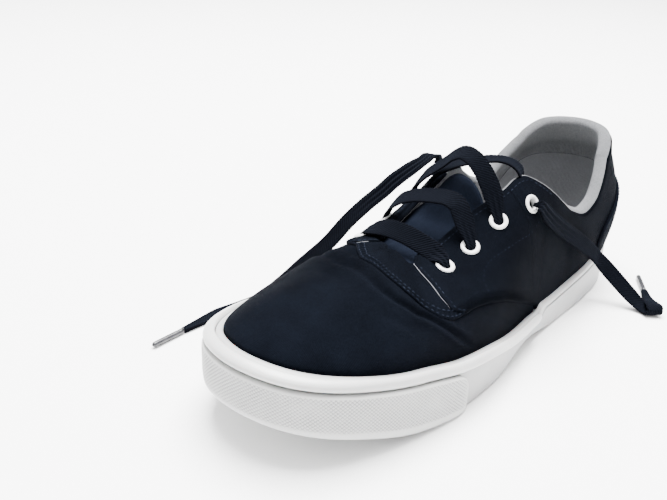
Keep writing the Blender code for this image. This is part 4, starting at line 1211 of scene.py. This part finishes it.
def make_eyelet_rings():
    """Turned rings with a rounded flange and a barrel through the canvas."""
    out, barrel, hole = EYELET_OUTER / 2, EYELET_BARREL / 2, EYELET_HOLE / 2
    turn = np.radians(np.linspace(0, 180, 12))
    middle, half = (out + hole) / 2, (out - hole) / 2
    profile = [(middle + half * np.cos(a), EYELET_SEAT + EYELET_FLANGE * np.sin(a) ** 0.8) for a in turn]
    profile += [(hole, -CANVAS_WALL), (barrel, -CANVAS_WALL), (barrel, EYELET_SEAT)]
    for name, centre, normal in EYELET_PLACES:
        one = unit(np.cross(normal, [1.0, 0.0, 0.0]))
        two = np.cross(normal, one)
        angles = np.linspace(0, 2 * np.pi, 48, endpoint=False)
        grid = np.array([[centre + (one * np.cos(a) + two * np.sin(a)) * r + normal * z for r, z in profile]
                         for a in angles])
        loft_piece(f"{name}_ring", grid, "eyelet", True, [name])


make_eyelet_rings()


def make_tongue():
    """Canvas tongue: a padded blade under the eyestays, with a turned edge."""
    rows = np.linspace(0.206, 0.136, 60)
    shares = np.sin(np.linspace(-np.pi / 2, np.pi / 2, 41))
    outer, inner = [], []
    middle = CANVAS_WALL + TONGUE_GAP + TONGUE_THICKNESS / 2
    for x in rows:
        side = float(LastWall.ridge_side(x))
        half = TONGUE_HALF_WIDTH * (1 - 0.25 * ramp(x, 0.185, 0.206) - 0.28 * (1 - ramp(x, 0.134, 0.150)))
        end = np.sqrt(np.clip(1 - (1 - min((x - 0.1359) / 0.003, 1)) ** 2, 0, 1))
        top, under = [], []
        for share in shares:
            point, normal = SKIN.by_plan(x, side - half * share)
            arch = max(1 - ((share * half + TONGUE_ARCH_SIDE) / TONGUE_ARCH) ** 2, 0)
            point[2] += TONGUE_LIFT * (1 - ramp(x, *TONGUE_RISE)) * arch
            round_edge = np.sqrt(max(1 - abs(share) ** 8, 0)) * end
            top.append(point - normal * (middle - TONGUE_THICKNESS / 2 * round_edge))
            under.append(point - normal * (middle + TONGUE_THICKNESS / 2 * round_edge))
        outer.append(top)
        inner.append(under)
    grid = np.concatenate([np.array(outer), np.array(inner)[:, ::-1]], axis=1)
    return loft_piece("tongue_blade", grid, "tongue", replaces=["tongue"])


make_tongue()


# Sole

def side_run(share_start, count):
    """Outline points and normals from one side's share round the toe to the other side's."""
    toe = int(np.argmax(SKIN.share))
    first = np.interp(share_start, SKIN.share[:toe], np.arange(toe))
    back = np.arange(SKIN_COLUMNS - 1, toe, -1)
    last = np.interp(share_start, SKIN.share[back], back)
    where = np.linspace(first, last, count)
    normal = SKIN.read(SKIN.out, where)
    return SKIN.read(SKIN.edge, where), unit(normal)


# Share of a band's run over which its ends round off, and columns along the two front bands
STRIP_END = 0.025
BUMPER_END = 0.05
STRIP_COLUMNS = 420
BUMPER_COLUMNS = 1050


def band(name, edge, normal, rows, finish, closed, replaces, moulded=False):
    """Rubber band round the sole; rows give the distance out and the height for each column."""
    count = len(edge)
    share = edge[:, 0] / LAST_LENGTH
    end = np.ones(count)
    if not closed:
        run = np.linspace(0, 1, count)
        near_end = np.minimum(run, 1 - run) / (BUMPER_END if moulded else STRIP_END)
        end = np.sqrt(np.clip(1 - (1 - np.clip(near_end, 0, 1)) ** 2, 0.02, 1))
    sections = []
    for out, up in rows(share, end):
        sections.append(np.column_stack([edge + normal * out[:, None], up * np.ones(count)]))
    grid = np.stack(sections, axis=1)
    if not moulded:
        return loft_piece(name, grid, finish, closed, replaces)
    run = along_run(grid)
    up = (run[:, :, 1] - run[:, 1:2, 1]) / (run[:, -2:-1, 1] - run[:, 1:2, 1])
    wide, high, deep = DIAMOND
    ribs = [np.abs(np.sin(np.pi * (run[:, :, 0] / wide + way * run[:, :, 1] / high))) for way in (1, -1)]
    raised = np.minimum(*ribs) ** 0.6
    held = ramp(up, 0.13, 0.22) * (1 - ramp(up, 0.93, 0.97)) * end[:, None]
    face = grid_normals(grid, False)
    # This relief height also goes to the material, which paints the pits dark with it as painted shade.
    height = 1 - (1 - raised) * held
    grid = grid - face * (deep * (1 - height))[:, :, None]
    return loft_piece(name, grid, finish, False, replaces, height=height)


def foxing_rows(share, end):
    """Flat rubber tape with a shallow groove under its top edge, and under the strip in front."""
    bottom = bottom_height(share) + FOXING_LIFT
    top = foxing_top(share)
    behind = 1 - ramp(share, STRIP_REAR - 0.03, STRIP_REAR)
    inside = np.full_like(share, GAP)
    out = inside + FOXING_THICKNESS
    yield inside, bottom
    yield out - 0.0010, bottom
    yield out - 0.0003, bottom + 0.0004
    yield out, bottom + 0.0012
    groove = (top - FOXING_GROOVE_DROP) * behind + (strip_top(share) - STRIP_HEIGHT - 0.0004) * (1 - behind)
    for part in (0.25, 0.5, 0.75):
        yield out, bottom + 0.0012 + (groove - bottom - 0.0024) * part
    for depth, lift in ((0, -10), (1, -7), (15, -4), (15, 3), (1, 5), (0, 8)):
        yield out - depth / 10000, groove + lift / 10000
    yield out - 0.0001, top - 0.0012
    yield out - 0.0006, top - 0.0004
    yield out - 0.0016, top
    yield inside, top


# Diamonds moulded on the toe bumper: width, height and depth
DIAMOND = (0.0021, 0.0018, 0.0006)


def toe_rubber(share, thickness):
    """Thickness of a front band, with the extra rubber at the toe."""
    return thickness + TOE_RUBBER * ramp(share, 0.84, 0.99)


def strip_rows(share, end):
    """Rounded rubber strip above the bumper."""
    inside = np.full_like(share, FOXING_THICKNESS + 2 * GAP)
    top = strip_top(share)
    bottom = top - STRIP_HEIGHT
    middle = (top + bottom) / 2
    for angle in np.radians(np.linspace(-90, 90, 15)):
        out = toe_rubber(share, STRIP_THICKNESS) * end * np.cos(angle)
        yield inside + out, middle + (middle - bottom) * end * np.sin(angle)


def bumper_rows(share, end):
    """Thick moulded toe bumper, full in the middle and thinner at its edges."""
    inside = np.full_like(share, FOXING_THICKNESS + 2 * GAP)
    top = strip_top(share) - STRIP_HEIGHT - GAP
    bottom = bottom_height(share) + FOXING_LIFT
    half = (top - bottom) / 2 * (0.25 + 0.75 * end)
    middle = bottom + half
    yield inside, middle - half
    for along in np.concatenate([[-1, -0.98], np.linspace(-0.95, 0.95, 66), [0.98, 1]]):
        thick = float(smooth(BUMPER, 1, along))
        yield inside + toe_rubber(share, BUMPER_THICKNESS) * thick * end, middle + half * along
    yield inside, middle + half


def make_sole():
    """Tape, strip and bumper, and the outsole's own solid with its material."""
    band("foxing_tape", SKIN.edge, SKIN.out, foxing_rows, "rubber", True, ["foxing"])
    edge, normal = side_run(STRIP_REAR, STRIP_COLUMNS)
    band("front_strip", edge, normal, strip_rows, "strip", False, ["foxing_strip"])
    edge, normal = side_run(BUMPER_REAR, BUMPER_COLUMNS)
    band("toe_bumper_moulded", edge, normal, bumper_rows, "bumper", False, ["toe_bumper"], True)
    frame["nodes"]["outsole"].material_slots[0].material = FINISHES["outsole"]


make_sole()


def make_insole():
    """Footbed with a dished cloth top and a rounded edge."""
    inset = SKIN.edge - SKIN.out * (CANVAS_WALL + 2.5 * GAP)
    toe, heel = np.argmax(inset[:, 0]), np.argmin(inset[:, 0])
    order = np.roll(np.arange(SKIN_COLUMNS), -heel)
    split = int(np.where(order == toe)[0][0])
    lateral, medial = inset[order[:split + 1]], np.vstack([inset[heel], inset[order[split:]][::-1]])
    middle, half = (lateral[0, 0] + lateral[-1, 0]) / 2, (lateral[-1, 0] - lateral[0, 0]) / 2 - 2 * GAP
    rows = []
    for turn in np.linspace(np.pi, 0, 120):
        x = middle + half * np.cos(turn)
        left, right = np.interp(x, lateral[:, 0], lateral[:, 1]), np.interp(x, medial[:, 0], medial[:, 1])
        bottom = float(outsole_top(x / LAST_LENGTH)) + INSOLE_GAP
        side = np.sin(np.linspace(-np.pi / 2, np.pi / 2, 33))
        dish = 0.0006 * (2 * np.abs(side) ** 3 - 1)
        rise = INSOLE_THICKNESS - 0.0012 + 0.0012 * (1 - np.abs(side) ** 10) + dish
        y = (left + right) / 2 - (right - left) / 2 * side * -1
        top = np.column_stack([np.full(33, x), y[::-1], bottom + rise])
        rows.append(np.vstack([top, [(x, right, bottom), (x, left, bottom)]]))
    loft_piece("footbed", np.array(rows), "insole", replaces=["insole"], flip=True)


def make_backstay():
    """Heel panel that narrows to a webbing strip, with its edge sewn down."""
    spacing = np.linalg.norm(np.roll(SKIN.edge, -1, axis=0) - SKIN.edge, axis=1).sum() / SKIN_COLUMNS
    up = np.concatenate([np.linspace(0, 0.45, 30), np.linspace(0.46, 0.70, 60), np.linspace(0.72, 1, 20)])
    half = smooth(HEEL_PANEL, 1, up) * BACKSTAY_WIDTH / 2 / spacing
    side = np.sin(np.linspace(-1.35, 1.35, 61)) / np.sin(1.35)
    u = side[:, None] * half[None, :]
    top = SKIN.read(SKIN.top, u)
    s = BACKSTAY_START + up[None, :] * (top - BACKSTAY_BELOW_RIM)
    near = QUARTER_STEP + BACKSTAY_SEAT
    height = BACKSTAY_THICKNESS * np.sqrt(np.clip(1 - np.abs(side) ** 40, 0, 1))[:, None]
    grid = np.concatenate([SKIN.place(u, s, near + height)[0], SKIN.place(u, s, near)[0][:, ::-1]], axis=1)
    loft_piece("backstay_strip", grid, "webbing", replaces=["backstay"])
    for sign, word in ((-1, "medial"), (1, "lateral")):
        line = sign * (half - 0.0022 / spacing)
        stitches(f"backstay_stitches_{word}", line, BACKSTAY_START + up * (
            SKIN.read(SKIN.top, line) - BACKSTAY_BELOW_RIM), near + BACKSTAY_THICKNESS)


make_insole()
make_backstay()


# Sewn lines, the quarters' front edges and the piping

# Points along the quarter's seams in millimetres, and the height of its second layer
FRONT_EDGE = (
    (187.0, 7.2, 60.4), (189.9, 10.3, 59.5), (192.6, 16.5, 58.1), (194.3, 23.7, 55.6), (196.0, 31.1, 51.8),
    (195.5, 35.0, 49.1))
REINFORCE = (
    (118.0, 35.8, 69.0), (127.0, 34.5, 64.5), (133.7, 33.7, 63.3), (142.2, 32.6, 61.3), (153.9, 31.1, 58.0),
    (159.1, 31.3, 56.1), (162.6, 31.9, 54.4), (166.5, 34.4, 51.1), (167.2, 38.2, 46.9), (166.1, 41.4, 41.8))
OVERLAY = 0.0006
PIPING_RADIUS = 0.00020
MEDIAL_PIPING_POINTS = 40
RIM_STITCH_DEPTH = 0.0026


def mirrored(points, side):
    """Points of the lateral side as they are, or turned over to the medial side of the ridge."""
    if side > 0:
        return points
    return [(x, 2000 * float(LastWall.ridge_side(x / 1000)) - y, z) for x, y, z in points]


def even_line(found, count):
    """Column and length positions spread evenly along a found line."""
    step = np.hypot(np.diff(found[:, 0]) * 0.001, np.diff(found[:, 1]))
    run = np.concatenate([[0], np.cumsum(step)])
    at = np.linspace(0, run[-1], count)
    return np.interp(at, run, found[:, 0]), np.interp(at, run, found[:, 1])


def make_overlay(side, word):
    """Front part of a quarter: a second layer over the band, with a folded edge and light piping."""
    u, s = even_line(SKIN.find(mirrored(FRONT_EDGE, side)), 40)
    seam, top = SKIN.read(SKIN.seam, u), SKIN.read(SKIN.top, u)
    share = (s - seam) / (top - seam)
    order = np.argsort(share)
    rows = np.linspace(0.0, 1.0, 90)
    front = np.interp(rows, share[order], u[order])
    front = front - side * 15 * np.clip(1 - rows / 0.16, 0, 1) ** 2
    back = np.full_like(front, 0.0 if side > 0 else SKIN_COLUMNS)
    t = np.concatenate([[0.0, 0.0002, 0.0008, 0.0022, 0.005], np.linspace(0.01, 1, 300)])
    column = front[None, :] + (back - front)[None, :] * t[:, None]
    seam, top = SKIN.read(SKIN.seam, column), SKIN.read(SKIN.top, column)
    seam = np.where(seam > 0.002, seam + 0.0004, LOW)
    s = seam + (top - 0.0004 - seam) * rows[None, :]
    lift = np.concatenate([[0.0, 0.75, 1.05, 1.1, 1.05], np.ones(300)])
    edge = np.sqrt(np.clip(1 - (1 - np.clip(rows / 0.03, 0, 1)) ** 2, 0, 1))
    away = QUARTER_STEP - 0.0001 + (OVERLAY + 0.0001) * lift[:, None] * edge[None, :]
    points, normal = SKIN.place(column, s)
    moved = relief(points) * ramp(s, seam, seam + 0.004) * (1 - ramp(s, top - 0.006, top - 0.001))
    moved = moved + puckers(column, s) * ramp(s, seam, seam + 0.0015)
    grid = points + normal * (away + moved)[:, :, None]
    keep = holes(grid)
    if side > 0:
        grid, keep = grid[::-1], keep[::-1][1:]
    sheet_piece(f"quarter_front_{word}", grid, "quarter", keep=keep)
    line = SKIN.place(front[12:], SKIN.between(front, rows)[12:], QUARTER_STEP + 0.0001)[0]
    if side < 0:
        line = line[:MEDIAL_PIPING_POINTS]
    thin = PIPING_RADIUS * np.interp(np.linspace(0, 1, len(line)), [0, 0.12, 0.35, 1], [0.2, 0.6, 1, 1])
    loft_piece(f"front_piping_{word}", tube(line, thin, 8), "piping")
    behind = front - side * 3.6
    s = SKIN.between(behind, rows)
    stitches(f"front_stitches_{word}", behind[4:-4], s[4:-4], QUARTER_STEP + OVERLAY)


def make_sewn_lines():
    """Rows of stitches along the seam over the vamp, the eyestays and the rim."""
    columns = np.arange(SKIN_COLUMNS)[SKIN.seam > 0.006].astype(float)
    seam = SKIN.read(SKIN.seam, columns)
    for number, above in ((1, 0.0014), (2, 0.0042)):
        stitches(f"band_stitches_{number}", columns, seam + above, QUARTER_STEP + 0.0001)
    for side, word in ((1, "lateral"), (-1, "medial")):
        make_overlay(side, word)
        u, s = even_line(SKIN.find(mirrored(REINFORCE, side)), 80)
        stitches(f"eyestay_stitches_{word}", u, s, QUARTER_STEP + OVERLAY * 0.6, 0.0017)
        order = np.arange(SKIN_COLUMNS).astype(float)
        order = order[(SKIN.share > 0.37) & (SKIN.share < 0.665) & (side * (SKIN_COLUMNS / 2 - order) > 0)]
        low = SKIN.read(SKIN.top, order) - RIM_STITCH_DEPTH
        stitches(f"rim_stitches_{word}", order, low, QUARTER_STEP + OVERLAY)


make_sewn_lines()


# Floor and light

FLOOR_HALF = 6.0


def add_floor():
    """Plain pale floor."""
    mesh = bpy.data.meshes.new("floor")
    corners = [(x * FLOOR_HALF, y * FLOOR_HALF, 0) for x, y in ((-1, -1), (1, -1), (1, 1), (-1, 1))]
    mesh.from_pydata(corners, [], [(0, 1, 2, 3)])
    made = bpy.data.materials.new("paper_floor")
    made.use_nodes = True
    shader = made.node_tree.nodes["Principled BSDF"]
    shader.inputs["Base Color"].default_value = (0.96, 0.96, 0.96, 1)
    shader.inputs["Roughness"].default_value = 0.9
    mesh.materials.append(made)
    floor = bpy.data.objects.new("floor", mesh)
    bpy.context.scene.collection.objects.link(floor)


# Name, place and width in metres, and power in watts of each light
LIGHTS = (("key", (-0.3, -0.25, 1.7), 1.2, 250), ("panel", (0.01, 0, 3.0), 7.0, 500))
SKY_STRENGTH = 0.25


def add_light(name, place, size, power):
    """Square soft light aimed at the floor under the middle of the shoe."""
    data = bpy.data.lights.new(name, "AREA")
    data.shape = "SQUARE"
    data.size = size
    data.energy = power
    lamp = bpy.data.objects.new(name, data)
    back = unit(np.array(place, float))
    side = unit(np.cross([0.0, 0.0, 1.0], back))
    lamp.matrix_world = standing(side, np.cross(back, side), back, place)
    bpy.context.scene.collection.objects.link(lamp)


add_floor()
sky = bpy.data.worlds.new("studio")
sky.use_nodes = True
sky.node_tree.nodes["Background"].inputs["Color"].default_value = (1.0, 1.0, 1.0, 1)
sky.node_tree.nodes["Background"].inputs["Strength"].default_value = SKY_STRENGTH
bpy.context.scene.world = sky
for light in LIGHTS:
    add_light(*light)
